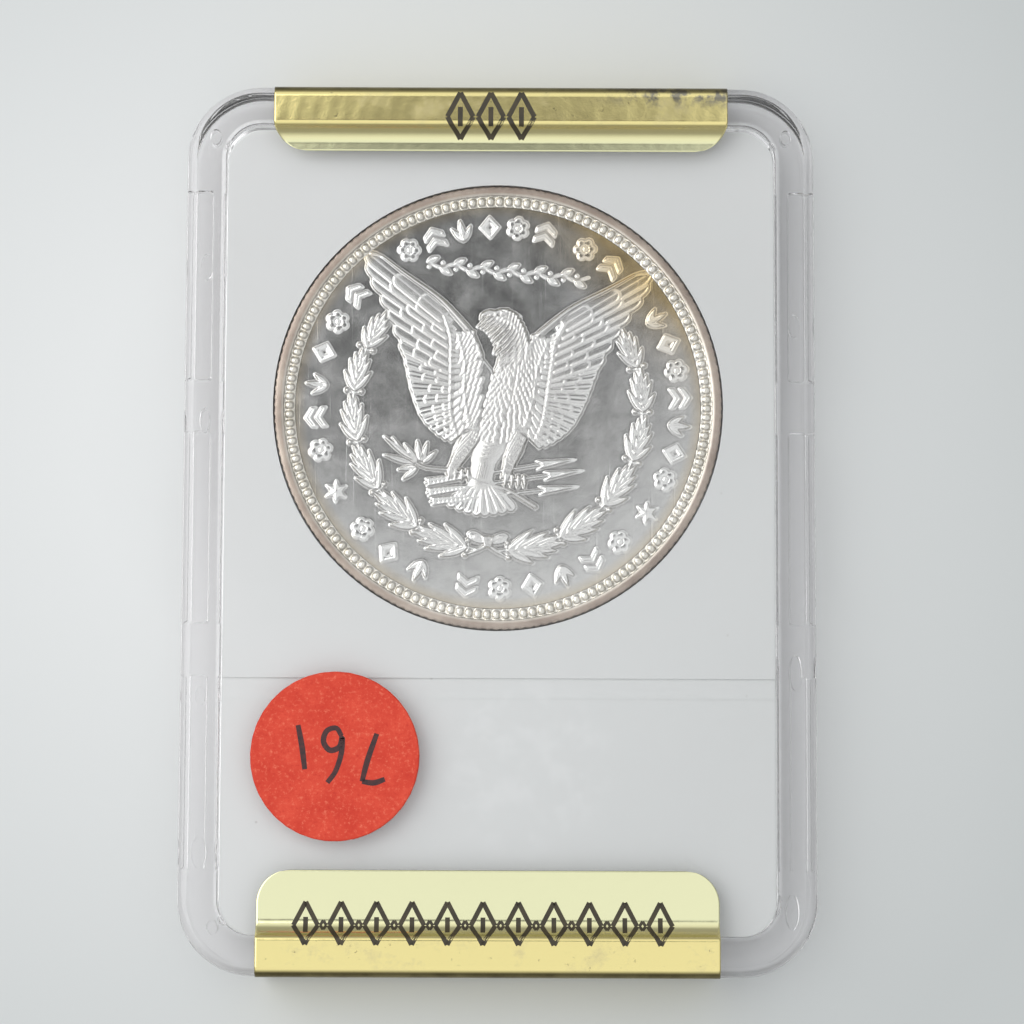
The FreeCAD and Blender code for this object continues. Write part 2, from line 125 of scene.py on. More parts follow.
class Nodes:
    """A short way to write a node tree."""

    def __init__(self, name, world=None):
        self.owner = world or bpy.data.materials.new(name)
        self.owner.use_nodes = True
        self.tree = self.owner.node_tree
        self.tree.nodes.clear()

    def add(self, kind, inputs=None, **settings):
        node = self.tree.nodes.new("ShaderNode" + kind)
        for key, value in settings.items():
            setattr(node, key, value)
        for key, value in (inputs or {}).items():
            self.put(node, key, value)
        return node

    def put(self, node, key, value):
        socket = node.inputs[key]
        if isinstance(value, bpy.types.NodeSocket):
            self.tree.links.new(value, socket)
        elif socket.type == "RGBA":
            socket.default_value = (*value, 1.0)
        else:
            socket.default_value = value

    def place(self):
        return self.add("TexCoord").outputs["Object"]

    def axes(self):
        return self.add("SeparateXYZ", {0: self.place()}).outputs

    def away_from(self, x, y):
        """Distance across the plane from a place, in metres."""
        offset = self.add("VectorMath", {0: self.place(), 1: (x, y, 0.0)}, operation="SUBTRACT")
        flat = self.add("VectorMath", {0: offset.outputs[0], 1: (1.0, 1.0, 0.0)},
                        operation="MULTIPLY")
        return self.add("VectorMath", {0: flat.outputs[0]}, operation="LENGTH").outputs["Value"]

    def noise(self, scale, detail, roughness=0.55, vector=None):
        inputs = {"Vector": vector or self.place(), "Scale": scale, "Detail": detail,
                  "Roughness": roughness}
        return self.add("TexNoise", inputs).outputs["Fac"]

    def math(self, operation, first, second):
        return self.add("Math", {0: first, 1: second}, operation=operation).outputs[0]

    def times(self, first, *others):
        for other in others:
            first = self.math("MULTIPLY", first, other)
        return first

    def span(self, value, low, high, to_low=0.0, to_high=1.0):
        """Map a value from one range to another, clamped."""
        inputs = {"Value": value, "From Min": low, "From Max": high, "To Min": to_low,
                  "To Max": to_high}
        return self.add("MapRange", inputs).outputs[0]

    def blend(self, amount, first, second):
        return self.add("Mix", {0: amount, 6: first, 7: second}, data_type="RGBA").outputs[2]

    def mottle(self, field, low, high, first, second):
        """Two colours, mixed by where a field lies between two values."""
        return self.blend(self.span(field, low, high), first, second)

    def bump(self, height, distance, strength, normal=None):
        inputs = {"Height": height, "Distance": distance, "Strength": strength}
        if normal:
            inputs["Normal"] = normal
        return self.add("Bump", inputs).outputs[0]

    def attribute(self, name):
        return self.add("Attribute", attribute_name=name).outputs["Fac"]

    def principled(self, colour, rough, normal=None, **more):
        inputs = {"Base Color": colour, "Roughness": rough}
        if normal:
            inputs["Normal"] = normal
        inputs.update({key.replace("_", " "): value for key, value in more.items()})
        return self.add("BsdfPrincipled", inputs).outputs[0]

    def finish(self, shader):
        self.add("OutputMaterial", {"Surface": shader})
        return self.owner

    def surface(self, colour, rough, normal=None, **more):
        """Close the tree with one principled shader."""
        return self.finish(self.principled(colour, rough, normal, **more))


# ---------------------------------------------------------------- materials

def clear_plastic():
    """Clear moulded plastic. It casts no shadow, and light that has bounced about in it for long
    leaves it straight, as it does where real mouldings scatter it."""
    nodes = Nodes("clear_plastic")
    waves = nodes.noise(90.0, 2.0)
    scuffs = nodes.noise(2200.0, 4.0, 0.7)
    normal = nodes.bump(scuffs, 0.000002, 0.25, nodes.bump(waves, 0.00002, 0.35))
    rough = nodes.span(scuffs, 0.45, 0.75, 0.015, 0.07)
    glass = nodes.principled((0.99, 0.985, 0.99), rough, normal, IOR=1.5, Transmission_Weight=1.0)
    clear = nodes.add("BsdfTransparent", {"Color": (0.98, 0.975, 0.975)}).outputs[0]
    path = nodes.add("LightPath").outputs
    plain = nodes.math("MAXIMUM", path["Is Shadow Ray"], path["Is Diffuse Ray"])
    trapped = nodes.math("GREATER_THAN", path["Ray Depth"], 5.5)
    mixed = nodes.add("MixShader", {0: nodes.math("MAXIMUM", plain, trapped), 1: glass, 2: clear})
    return nodes.finish(mixed.outputs[0])


def white_plastic():
    """The insert: matt white, darker towards one side by painted shade, with a faint round smudge
    at the label end and a few specks."""
    nodes = Nodes("white_plastic")
    cloud = nodes.noise(70.0, 2.0)
    tone = nodes.mottle(cloud, 0.3, 0.7, (0.730, 0.745, 0.735), (0.750, 0.765, 0.755))
    x, y, _ = nodes.axes()
    # painted shade: the insert darkens towards +X and -Y, as the key light's falloff would leave it
    lean = nodes.math("SUBTRACT", x, nodes.times(y, 0.55))
    tone = nodes.mottle(lean, -0.024, 0.030, tone, (0.625, 0.645, 0.635))
    smudge = nodes.span(nodes.away_from(0.002, -0.0202), 0.0062, 0.0082, 1.0, 0.0)
    patches = nodes.span(nodes.noise(420.0, 4.0, 0.7), 0.48, 0.62)
    tone = nodes.blend(nodes.times(smudge, patches, 0.25), tone, (0.79, 0.805, 0.80))
    cells = nodes.add("TexVoronoi", {"Vector": nodes.place(), "Scale": 210.0, "Randomness": 1.0})
    speck = nodes.span(cells.outputs["Distance"], 0.012, 0.03, 1.0, 0.0)
    tone = nodes.blend(nodes.times(speck, 0.45), tone, (0.35, 0.33, 0.31))
    return nodes.surface(tone, 0.55, nodes.bump(nodes.noise(1500.0, 3.0), 0.00001, 0.4))


def coin_silver():
    """Struck silver: a bright, lightly scratched field, satin devices and painted shade in the
    hollows.
    """
    nodes = Nodes("coin_silver")
    frost = nodes.attribute("frost")
    lustre = nodes.noise(420.0, 4.0, 0.6)
    field_rough = nodes.span(lustre, 0.3, 0.75, 0.09, 0.17)
    device_rough = nodes.span(lustre, 0.3, 0.75, 0.20, 0.30)
    rough = nodes.add("Mix", {0: frost, 2: field_rough, 3: device_rough}, data_type="FLOAT")
    colour = nodes.blend(frost, (0.81, 0.81, 0.785), (0.67, 0.663, 0.64))
    # painted shade: grey darkening where the relief lies below its surroundings
    colour = nodes.blend(nodes.times(nodes.attribute("hollow_shade"), 0.60), colour, (0.36, 0.35, 0.33))
    colour = nodes.blend(nodes.attribute("tone"), colour, (0.78, 0.61, 0.33))
    grain = nodes.noise(1500.0, 3.0, 0.6)
    normal = nodes.bump(grain, 0.000012, nodes.span(frost, 0.0, 1.0, 0.16, 0.3))
    for turn in (0.35, -0.6):
        stretch = {"Vector": nodes.place(), "Rotation": (0.0, 0.0, turn), "Scale": (1.0, 0.02, 1.0)}
        streaks = nodes.noise(4200.0, 2.0, 0.5, nodes.add("Mapping", stretch).outputs[0])
        normal = nodes.bump(nodes.span(streaks, 0.66, 0.80), 0.000004, 0.45, normal)
    return nodes.surface(colour, rough.outputs[0], normal, Metallic=1.0)


def coin_rim_silver():
    """The rim and edge, toned brown; the beads inside it stay brighter."""
    nodes = Nodes("coin_rim_silver")
    patch = nodes.noise(260.0, 4.0, 0.65)
    toned = nodes.mottle(patch, 0.32, 0.68, (0.31, 0.25, 0.21), (0.49, 0.42, 0.355))
    bright = nodes.mottle(patch, 0.35, 0.7, (0.66, 0.63, 0.55), (0.84, 0.81, 0.74))
    colour = nodes.blend(nodes.attribute("rim"), bright, toned)
    rough = nodes.span(nodes.attribute("rim"), 0.0, 1.0, 0.22, 0.42)
    normal = nodes.bump(nodes.noise(3000.0, 3.0), 0.000008, 0.5)
    return nodes.surface(colour, rough, normal, Metallic=1.0)


def gold_foil():
    """Gold foil: pale where it lies on the window, scuffed over the rim, darkened by painted shade
    down the outer round and end face, and stained at one corner."""
    nodes = Nodes("gold_foil")
    wear = nodes.attribute("wear")
    patch = nodes.noise(330.0, 5.0, 0.7)
    colour = nodes.blend(nodes.attribute("rise"), (0.85, 0.84, 0.53), (0.88, 0.76, 0.34))
    scuffed = nodes.times(wear, nodes.span(patch, 0.52, 0.66))
    colour = nodes.blend(nodes.times(scuffed, 0.3), colour, (0.48, 0.42, 0.30))
    speck = nodes.span(nodes.noise(1900.0, 3.0, 0.7), 0.66, 0.74)
    colour = nodes.blend(nodes.times(speck, wear, 0.8), colour, (0.20, 0.17, 0.10))
    x, y, z = nodes.axes()
    corner = nodes.times(nodes.span(x, 0.007, 0.013), nodes.span(y, 0.0356, 0.0366),
                         nodes.span(z, 0.0066, 0.0076))
    stain = nodes.times(corner, nodes.span(nodes.noise(900.0, 3.0, 0.6), 0.46, 0.60), 0.75)
    colour = nodes.blend(stain, colour, (0.13, 0.14, 0.19))
    # painted shade: the outer round and end face darkened, standing in for the dark surroundings they
    # reflect
    edge = nodes.times(nodes.attribute("edge"), nodes.span(patch, 0.2, 0.6, 1.0, 0.82))
    colour = nodes.blend(edge, colour, (0.06, 0.045, 0.02))
    rough = nodes.span(scuffed, 0.0, 1.0, 0.15, 0.21)
    normal = nodes.bump(nodes.noise(4200.0, 3.0), 0.000004, 0.3)
    normal = nodes.bump(nodes.noise(700.0, 3.0, 0.6), 0.00003, 0.25, normal)
    return nodes.surface(colour, rough, normal, Metallic=1.0)


def ink(name, scale, detail, low, dark, light, rough):
    """Printed or written ink, a little uneven."""
    nodes = Nodes(name)
    colour = nodes.mottle(nodes.noise(scale, detail), low, 1 - low, dark, light)
    return nodes.surface(colour, rough)


def label_ink(name, colour):
    lighter = tuple(part * 1.25 + 0.01 for part in colour)
    return ink(name, 1800.0, 3.0, 0.35, colour, lighter, 0.5)


def sticker_paper():
    """Fluorescent red paper with pale fibres and darker blotches."""
    nodes = Nodes("sticker_paper")
    fibre = nodes.noise(2600.0, 5.0, 0.75)
    blotch = nodes.noise(520.0, 3.0)
    colour = nodes.mottle(blotch, 0.35, 0.68, (0.66, 0.045, 0.020), (0.76, 0.072, 0.035))
    for low, high, tint in ((0.54, 0.68, (0.95, 0.24, 0.14)), (0.46, 0.32, (0.55, 0.022, 0.012))):
        colour = nodes.blend(nodes.times(nodes.span(fibre, low, high), 0.6), colour, tint)
    normal = nodes.bump(fibre, 0.00003, 0.55)
    return nodes.surface(colour, 0.62, normal, Specular_IOR_Level=0.35)


def label_paper():
    nodes = Nodes("label_paper")
    fibre = nodes.noise(2400.0, 4.0, 0.7)
    colour = nodes.mottle(fibre, 0.3, 0.7, (0.86, 0.86, 0.82), (0.92, 0.92, 0.89))
    return nodes.surface(colour, 0.6, nodes.bump(fibre, 0.00001, 0.4))


def table_top():
    """A pale table with painted light falloff: darker away from a point near the slab, where the light
    is strongest.
    """
    nodes = Nodes("table_top")
    cloud = nodes.noise(6.0, 2.0)
    near = nodes.mottle(cloud, 0.3, 0.7, (0.765, 0.775, 0.772), (0.785, 0.792, 0.788))
    # painted light falloff: the table darkens with distance from a point near the slab
    light_falloff_distance = nodes.away_from(-0.014, 0.008)
    colour = nodes.mottle(light_falloff_distance, 0.022, 0.070, near, (0.585, 0.605, 0.60))
    return nodes.surface(colour, 0.6, Specular_IOR_Level=0.2)


# ---------------------------------------------------------------- relief

def chain_distance(x, y, starts, stops):
    """Distance of every point from the nearest of some segments."""
    nearest = np.full(x.shape, 100.0)
    for (ax, ay), (bx, by) in zip(starts, stops):
        dx, dy = bx - ax, by - ay
        share = np.clip(((x - ax) * dx + (y - ay) * dy) / (dx * dx + dy * dy + 1e-12), 0, 1)
        nearest = np.minimum(nearest, np.hypot(x - ax - share * dx, y - ay - share * dy))
    return nearest


def line_section(offset, width):
    """Height of a soft raised line, by the distance from its middle."""
    return np.exp(-(offset / width) ** 2)


class Relief:
    """A height field over a square, in the coin's own plane, that devices are struck into."""

    def __init__(self, radius, spacing):
        count = 2 * int(math.ceil(radius / spacing)) + 1
        self.axis = np.linspace(-radius, radius, count)
        self.spacing = self.axis[1] - self.axis[0]
        self.x, self.y = np.meshgrid(self.axis, self.axis)
        self.height = np.zeros_like(self.x)

    def window(self, low, high):
        """Slices of the field round a box."""
        left, right = np.searchsorted(self.axis, [low[0], high[0]])
        bottom, top = np.searchsorted(self.axis, [low[1], high[1]])
        return slice(max(bottom - 1, 0), top + 1), slice(max(left - 1, 0), right + 1)

    def frame_of(self, base, tip, reach):
        """The window round a segment, coordinates along it (0 to 1) and across it, its length."""
        base, tip = np.asarray(base, float), np.asarray(tip, float)
        area = self.window(np.minimum(base, tip) - reach, np.maximum(base, tip) + reach)
        length = max(np.hypot(*(tip - base)), 1e-6)
        along = (tip - base) / length
        x, y = self.x[area] - base[0], self.y[area] - base[1]
        return area, (x * along[0] + y * along[1]) / length, y * along[0] - x * along[1], length

    def lay(self, area, inside, height, over=True):
        """Put a shape down. inside is its distance from the outline, in millimetres."""
        cover = np.clip(inside / self.spacing + 0.5, 0.0, 1.0)
        before = self.height[area]
        if not over:
            height = np.maximum(before, height)
        self.height[area] = before * (1 - cover) + height * cover

    def plate(self, outline, height, lip, crown=0.0):
        """A flat shape with a raised line round its edge."""
        outline = np.asarray(outline, float)
        area = self.window(outline.min(0) - 0.1, outline.max(0) + 0.1)
        x, y = self.x[area], self.y[area]
        following = np.roll(outline, -1, axis=0)
        nearest = chain_distance(x, y, outline, following)
        within = np.zeros(x.shape, bool)
        for (ax, ay), (bx, by) in zip(outline, following):
            within ^= ((ay > y) != (by > y)) & (x < (bx - ax) * (y - ay) / (by - ay + 1e-12) + ax)
        inside = np.where(within, nearest, -nearest)
        rise = crown * np.clip(inside / 0.9, 0, 1) ** 0.5
        self.lay(area, inside, height + rise + lip * line_section(inside - 0.07, 0.06))

    def leaf(self, base, tip, width, height):
        """A slender pointed leaf: two hollow halves between a raised edge and a raised midrib."""
        area, u, v, _ = self.frame_of(base, tip, width)
        inner = np.clip(u, 0.0, 1.0)
        half = width / 2 * np.sin(np.pi * inner ** 0.8) ** 0.8 + 1e-4
        from_edge = half - np.abs(v)
        lines = 0.05 * line_section(from_edge - 0.05, 0.05) + 0.06 * line_section(v, 0.055)
        self.lay(area, np.where((u > 0) & (u < 1), from_edge, -1.0), height + lines)

    def feather(self, base, tip, width, height, edge, tilt, blunt, lip=0.05):
        """A long flat feather. Its open edge, on the side edge says, ends in a fine raised line."""
        start, end = width
        area, u, v, _ = self.frame_of(base, tip, max(width))
        inner = np.clip(u, 0.0, 1.0)
        half = (start + (end - start) * inner) / 2
        round_off = np.clip((inner - blunt) / (1 - blunt), 0, 1)
        half = half * np.sqrt(np.clip(1 - round_off ** 2, 0, 1)) + 1e-4
        inside = np.where((u > -0.02) & (u < 1), half - np.abs(v), -1.0)
        share = np.clip(v * edge / half, -1, 1)
        lines = line_section(half - v * edge - 0.06, 0.055) + 0.25 * line_section(v, 0.05)
        self.lay(area, inside, height + tilt * share + lip * lines)

    def stroke(self, points, widths, height, samples=24):
        """A round-backed cord through a curve. widths gives its half width along it."""
        amounts = np.linspace(0, 1, samples)
        curve = catmull(points, amounts)
        sizes = np.interp(amounts, np.linspace(0, 1, len(widths)), widths)
        for index in range(samples - 1):
            reach = max(sizes[index], sizes[index + 1])
            area, u, v, length = self.frame_of(curve[index], curve[index + 1], reach)
            inner = np.clip(u, 0, 1)
            half = sizes[index] + (sizes[index + 1] - sizes[index]) * inner
            distance = np.hypot((u - inner) * length, v)
            share = np.clip(distance / np.maximum(half, 1e-4), 0, 1)
            self.lay(area, half - distance, height * np.sqrt(1 - share ** 2), over=False)

    def ridge(self, points, width, rise, samples=12):
        """A fine raised line added on top of whatever lies under it."""
        curve = catmull(points, np.linspace(0, 1, samples))
        area = self.window(curve.min(0) - 3 * width, curve.max(0) + 3 * width)
        nearest = chain_distance(self.x[area], self.y[area], curve[:-1], curve[1:])
        self.height[area] += rise * line_section(nearest, width)

    def dome(self, centre, radii, turn, height, edge=0.0, over=False):
        """An oval mound."""
        reach = max(radii)
        area = self.window(np.subtract(centre, reach), np.add(centre, reach))
        x, y = self.x[area] - centre[0], self.y[area] - centre[1]
        c, s = math.cos(turn), math.sin(turn)
        u, v = (x * c + y * s) / radii[0], (y * c - x * s) / radii[1]
        share = np.hypot(u, v)
        shape = edge + (height - edge) * np.sqrt(np.clip(1 - share ** 2, 0, 1))
        self.lay(area, (1 - share) * min(radii), shape, over)

    def star(self, centre, radius, points, height, turn):
        """A star with a ridge to every point and a valley between them."""
        area = self.window(np.subtract(centre, radius), np.add(centre, radius))
        x, y = self.x[area] - centre[0], self.y[area] - centre[1]
        step = 2 * math.pi / points
        angle = (np.arctan2(y, x) - turn) % step
        angle = np.minimum(angle, step - angle)
        distance = np.hypot(x, y)
        waist = radius * 0.5
        lean = math.atan2(waist * math.sin(step / 2), radius - waist * math.cos(step / 2))
        limit = radius * math.sin(lean) / np.sin(math.pi - lean - angle)
        share = np.clip(distance / limit, 0, 1)
        shape = height * (0.55 + 0.45 * (1 - share) - 0.35 * angle / step)
        self.lay(area, (limit - distance) * 0.7, shape)

    def smooth(self):
        """Round the cut edges a little, as striking does."""
        field = np.pad(self.height, 1, mode="edge")
        field = (field[:-2] + 4 * field[1:-1] + field[2:]) / 6
        self.height = (field[:, :-2] + 4 * field[:, 1:-1] + field[:, 2:]) / 6

    def hollows(self, reach):
        """How deep each point lies under the average height round it, in millimetres."""
        size = max(1, int(round(reach / self.spacing)))
        field = self.height
        for axis in (0, 1):
            pad = [(size + 1, size) if axis == side else (0, 0) for side in (0, 1)]
            total = np.cumsum(np.pad(field, pad, mode="edge"), axis=axis)
            upper = np.take(total, range(2 * size + 1, total.shape[axis]), axis=axis)
            lower = np.take(total, range(0, total.shape[axis] - 2 * size - 1), axis=axis)
            field = (upper - lower) / (2 * size + 1)
        return field - self.height


def polar(radius, degrees):
    angle = math.radians(degrees)
    return np.array([radius * math.cos(angle), radius * math.sin(angle)])


def heading(start, stop):
    """Unit vectors along a line and to the left of it."""
    along = (stop - start) / np.hypot(*(stop - start))
    return along, np.array([-along[1], along[0]])


# ---------------------------------------------------------------- the eagle side's devices

WING_RIDGE = [(-5.1, 7.4), (-4.45, 5.7), (-4.3, 3.9), (-4.15, 2.1), (-3.95, -0.7), (-3.3, -2.7)]
WING_INNER_RIDGE = [(-3.9, 6.0), (-3.4, 4.6), (-3.1, 3.4), (-3.0, 1.4), (-2.75, 0.0), (-2.4, -1.5)]
WING_OUTER = [(-12.2, 12.4), (-11.9, 10.9), (-10.6, 8.8), (-9.6, 6.9), (-8.7, 4.9), (-8.1, 3.1),
              (-7.5, 1.0), (-6.6, -1.1), (-5.6, -2.2), (-4.6, -2.9), (-3.5, -3.0)]
WING_LEADING = [(-12.2, 12.4), (-10.8, 12.2), (-8.7, 10.8), (-5.8, 9.0), (-4.0, 7.4),
                (-2.7, 6.0), (-1.8, 4.3)]
BODY_LINE = [(-0.2, 7.7), (0.9, 6.7), (1.3, 5.2), (1.2, 3.0), (0.9, 0.6), (0.1, -2.0), (-0.8, -4.6)]


def mirrored(points, side):
    """Points of the left half, or of the right one when side is 1."""
    points = np.array(points, dtype=float)
    points[..., 0] *= -side
    return points


def strike_wing(relief, side):
    """One raised wing: side -1 is the left one."""
    lines = (WING_RIDGE, WING_INNER_RIDGE, WING_OUTER, WING_LEADING)
    ridge, inner, outer, leading = (mirrored(line, side) for line in lines)
    near_body = mirrored([(-2.2, -2.2), (-0.7, -1.2), (-0.3, 1.2), (-0.7, 3.1)], side)
    outline = np.vstack([catmull(outer, np.linspace(0, 1, 30)), near_body,
                         catmull(leading, np.linspace(1, 0.03, 24))])
    relief.plate(outline, 0.07, 0.03, 0.04)
    edge = -side
    primaries, secondaries = 7, 11
    feathers = [(0.50 * share, 0.40 * share, 1.25, 1.30)
                for share in np.linspace(0, 1, primaries)]
    feathers += [(0.50 + 0.48 * share, 0.40 + 0.55 * share, 0.72, 0.92)
                 for share in np.linspace(0.07, 1, secondaries)]
    rows = ((1.0, 0.10), (0.60, 0.125), (0.27, 0.15))
    for reach, level in rows:
        for number, (root_share, tip_share, root_width, tip_width) in enumerate(feathers[::-1]):
            root = catmull(ridge, root_share)
            stagger = (0.10 * math.sin(number * 2.4) + 0.03) * (reach < 1)
            tip = root + (catmull(outer, tip_share) - root) * (reach + stagger)
            widths = (root_width, root_width + (tip_width - root_width) * reach)
            relief.feather(root, tip, widths, level, edge, 0.025, 0.86)
    strike_coverts(relief, ridge, inner, edge)
    relief.stroke(leading[1:], (0.06, 0.20, 0.30, 0.26), 0.21)
    strike_shoulder(relief, inner, side)
    relief.ridge(ridge, 0.09, 0.07, 40)
    relief.ridge(inner, 0.08, 0.06, 40)
    relief.ridge(catmull(leading, np.linspace(0.05, 0.95, 12)), 0.07, 0.05, 40)


def strike_coverts(relief, ridge, inner, edge):
    """Short feathers between the two ridges of a wing."""
    count = 17
    for index in reversed(range(count)):
        share = (index + 0.5) / count
        root = catmull(inner, share)
        tip = catmull(ridge, min(share + 0.09, 1.0))
        relief.feather(root, tip, (0.55, 0.50), 0.13, edge, 0.03, 0.9)


def strike_shoulder(relief, inner, side):
    """Rows of small scales from the inner ridge in to the body."""
    rows, columns = 13, 4
    body = mirrored([(-2.6, 6.4), (-1.9, 4.6), (-1.6, 2.4), (-1.5, 0.2), (-1.7, -1.2)], side)
    for row in reversed(range(rows)):
        share = row / (rows - 1)
        start, stop = catmull(body, share), catmull(inner, share * 0.97)
        for column in range(columns):
            place = start + (stop - start) * (column + 0.5 * (row % 2)) / (columns - 0.5)
            tip = place + np.array([0.28 * side, -0.85])
            relief.feather(place, tip, (0.44, 0.46), 0.13 + 0.02 * share, -side, 0.03, 0.5, 0.035)


def strike_body(relief):
    """Breast and lower body, covered with small overlapping feathers."""
    relief.stroke(BODY_LINE, (0.62, 0.85, 1.15, 1.70, 1.95, 1.6, 1.05), 0.20, samples=40)
    rng = np.random.default_rng(5)
    rows = 24
    for row in reversed(range(rows)):
        share = 0.24 + 0.62 * row / (rows - 1)
        middle = catmull(BODY_LINE, share)
        half = np.interp(share, [0.2, 0.5, 0.68, 0.88], [0.85, 1.6, 1.75, 1.05])
        columns = int(2 * half / 0.46) + 1
        for column in range(columns):
            across = -half + 2 * half * (column + 0.5 * (row % 2)) / columns
            rise = 0.07 + 0.13 * math.sqrt(max(0.0, 1 - (across / (half + 0.35)) ** 2))
            base = middle + np.array([across, rng.uniform(-0.06, 0.06)])
            tip = base + np.array([0.22 * across / half, -0.66 + rng.uniform(-0.08, 0.08)])
            edge = 1 if across > 0 else -1
            relief.feather(base, tip, (0.24, 0.36), rise, edge, 0.02, 0.45, 0.04)


def strike_head(relief):
    """A small eagle head turned to the left, with a ruff of pointed feathers down the neck."""
    nape = [(0.1, 8.45), (0.95, 8.0), (1.6, 7.0), (2.0, 5.8), (2.1, 4.9)]
    count = 13
    for step in reversed(range(4)):
        for index in reversed(range(count)):
            base = catmull(nape, index / (count - 1)) + np.array([-0.44 * step, -0.20 * step])
            lean = -0.12 - 0.30 * step
            tip = base + np.array([lean, -1.15])
            relief.feather(base, tip, (0.40, 0.12), 0.14 + 0.02 * step, 1, 0.05, 0.35, 0.08)
    for index in range(9):
        start = np.array([0.55 - 0.10 * index, 6.8 - 0.12 * index])
        tip = start + np.array([-0.95 + 0.06 * index, -1.0 - 0.04 * index])
        relief.feather(start, tip, (0.30, 0.08), 0.17, 1, 0.05, 0.3, 0.08)
    relief.dome((-0.22, 7.78), (0.86, 0.66), 0.1, 0.22, 0.12)
    relief.stroke([(-0.75, 7.98), (-1.35, 8.02), (-1.85, 7.80), (-2.02, 7.42)],
                  (0.30, 0.27, 0.19, 0.05), 0.21)
    relief.stroke([(-0.8, 7.58), (-1.25, 7.52), (-1.55, 7.45)], (0.2, 0.15, 0.06), 0.16)
    relief.ridge([(-0.85, 8.12), (-0.45, 8.2), (-0.05, 8.05)], 0.07, 0.06)
    relief.ridge([(-0.9, 7.75), (-1.3, 7.76), (-1.7, 7.62)], 0.05, -0.05)
    relief.dome((-0.52, 7.90), (0.12, 0.10), 0, 0.13, 0.10, over=True)
    for index in range(6):
        start = np.array([-0.5 + 0.22 * index, 8.42 - 0.05 * index])
        relief.ridge([start, start + (0.35, -0.05), start + (0.75, -0.30)], 0.05, 0.05)


def strike_thigh(relief, hip, ankle, width):
    """A feathered leg: a tapering mound with long fine feathers down it."""
    hip, ankle = np.array(hip), np.array(ankle)
    relief.stroke([hip, (hip + ankle) / 2, ankle], (width * 0.6, width * 0.62, 0.30), 0.15)
    down, aside = heading(hip, ankle)
    for row in reversed(range(10)):
        middle = hip + (ankle - hip) * row / 10
        half = width * (0.58 - 0.035 * row)
        for column in range(6):
            base = middle + aside * half * (column - 2.5 + 0.5 * (row % 2)) / 3
            relief.feather(base, base + down * 1.0, (0.20, 0.12), 0.17, 1, 0.02, 0.5, 0.05)


def strike_legs_and_tail(relief):
    """Tail fan, the smooth tail column and two feathered legs."""
    root = np.array([-0.75, -6.3])
    feathers = 8
    for index in range(feathers):
        share = index / (feathers - 1)
        tip = np.array([-3.6 + 5.6 * share, -8.75 - 0.65 * math.sin(math.pi * share)])
        start = root + np.array([-0.5 + share, 0.0])
        relief.feather(start, tip, (0.45, 0.95), 0.11, 1 if share < 0.5 else -1, 0.03, 0.80)
    for hip, ankle, width in (((-1.9, -2.2), (-3.5, -5.6), 1.25), ((2.1, -1.5), (1.1, -5.6), 1.3)):
        strike_thigh(relief, hip, ankle, width)
    relief.stroke([(-0.30, -2.6), (-0.75, -4.8), (-1.0, -6.5)], (0.75, 0.95, 1.05), 0.19)
    for row in range(7):
        middle = np.array([-0.30 - 0.09 * row, -2.2 - 0.33 * row])
        arc = [middle + (-0.5, 0.1), middle + (0.0, -0.16), middle + (0.5, 0.1)]
        relief.ridge(arc, 0.06, 0.035)
    for column in range(9):
        top = np.array([-1.45 + 0.2 * column, -5.0])
        relief.ridge([top, top + (-0.1, -0.6), top + (-0.22, -1.3)], 0.05, 0.03)


def strike_arrow(relief, tail, tip):
    """An arrow with a barbed head and barred flights."""
    tail, tip = np.array(tail), np.array(tip)
    along, aside = heading(tail, tip)
    relief.stroke([tail, (tail + tip) / 2, tip - along], (0.10, 0.10, 0.10), 0.14)
    head = [tip, tip - along * 3.4 + aside * 0.36, tip - along * 2.7, tip - along * 3.4 - aside * 0.36]
    relief.plate(head, 0.08, 0.07)
    flight = [tail + aside * 0.34, tail + along * 3.0 + aside * 0.20, tail + along * 3.6,
              tail + along * 3.0 - aside * 0.20, tail - aside * 0.34, tail + along * 0.2]
    relief.plate(flight, 0.09, 0.05)
    for bar in range(8):
        place = tail + along * (0.35 + 0.36 * bar)
        relief.ridge([place - aside * 0.28, place, place + aside * 0.28], 0.05, 0.03, 4)


def strike_branch_and_arrows(relief):
    """What the eagle holds: a leafy branch to the left, three arrows to the right."""
    tails = [(-5.6, -6.9), (-5.4, -7.75), (-5.05, -8.5)]
    tips = [(6.9, -4.0), (7.6, -4.9), (7.3, -6.3)]
    for tail, tip in zip(tails, tips):
        strike_arrow(relief, tail, tip)
    relief.stroke([(-8.7, -3.3), (-7.4, -4.6), (-5.9, -5.6), (-3.2, -5.75), (-1.1, -6.5),
                   (1.2, -7.0), (3.8, -8.3)], (0.07, 0.09, 0.12, 0.15, 0.16, 0.18), 0.19)
    stem = np.array([-6.2, -5.5])
    leaves = [(-9.5, -3.2), (-9.4, -4.8), (-8.1, -6.0), (-7.6, -6.8), (-7.7, -3.7), (-6.6, -3.3),
              (-5.7, -3.4), (-4.9, -4.1)]
    for tip in leaves:
        tip = np.array(tip)
        relief.leaf(stem + (tip - stem) * 0.16, tip, 0.44, 0.10)
    for foot in ((-2.9, -6.0), (1.9, -6.2)):
        for toe in range(4):
            start = np.array(foot) + np.array([-0.75 + 0.5 * toe, 0.40])
            end = start + np.array([-0.12 + 0.08 * toe, -0.95])
            relief.stroke([start, (start + end) / 2 + np.array([0.0, 0.05]), end],
                          (0.17, 0.19, 0.06), 0.23)


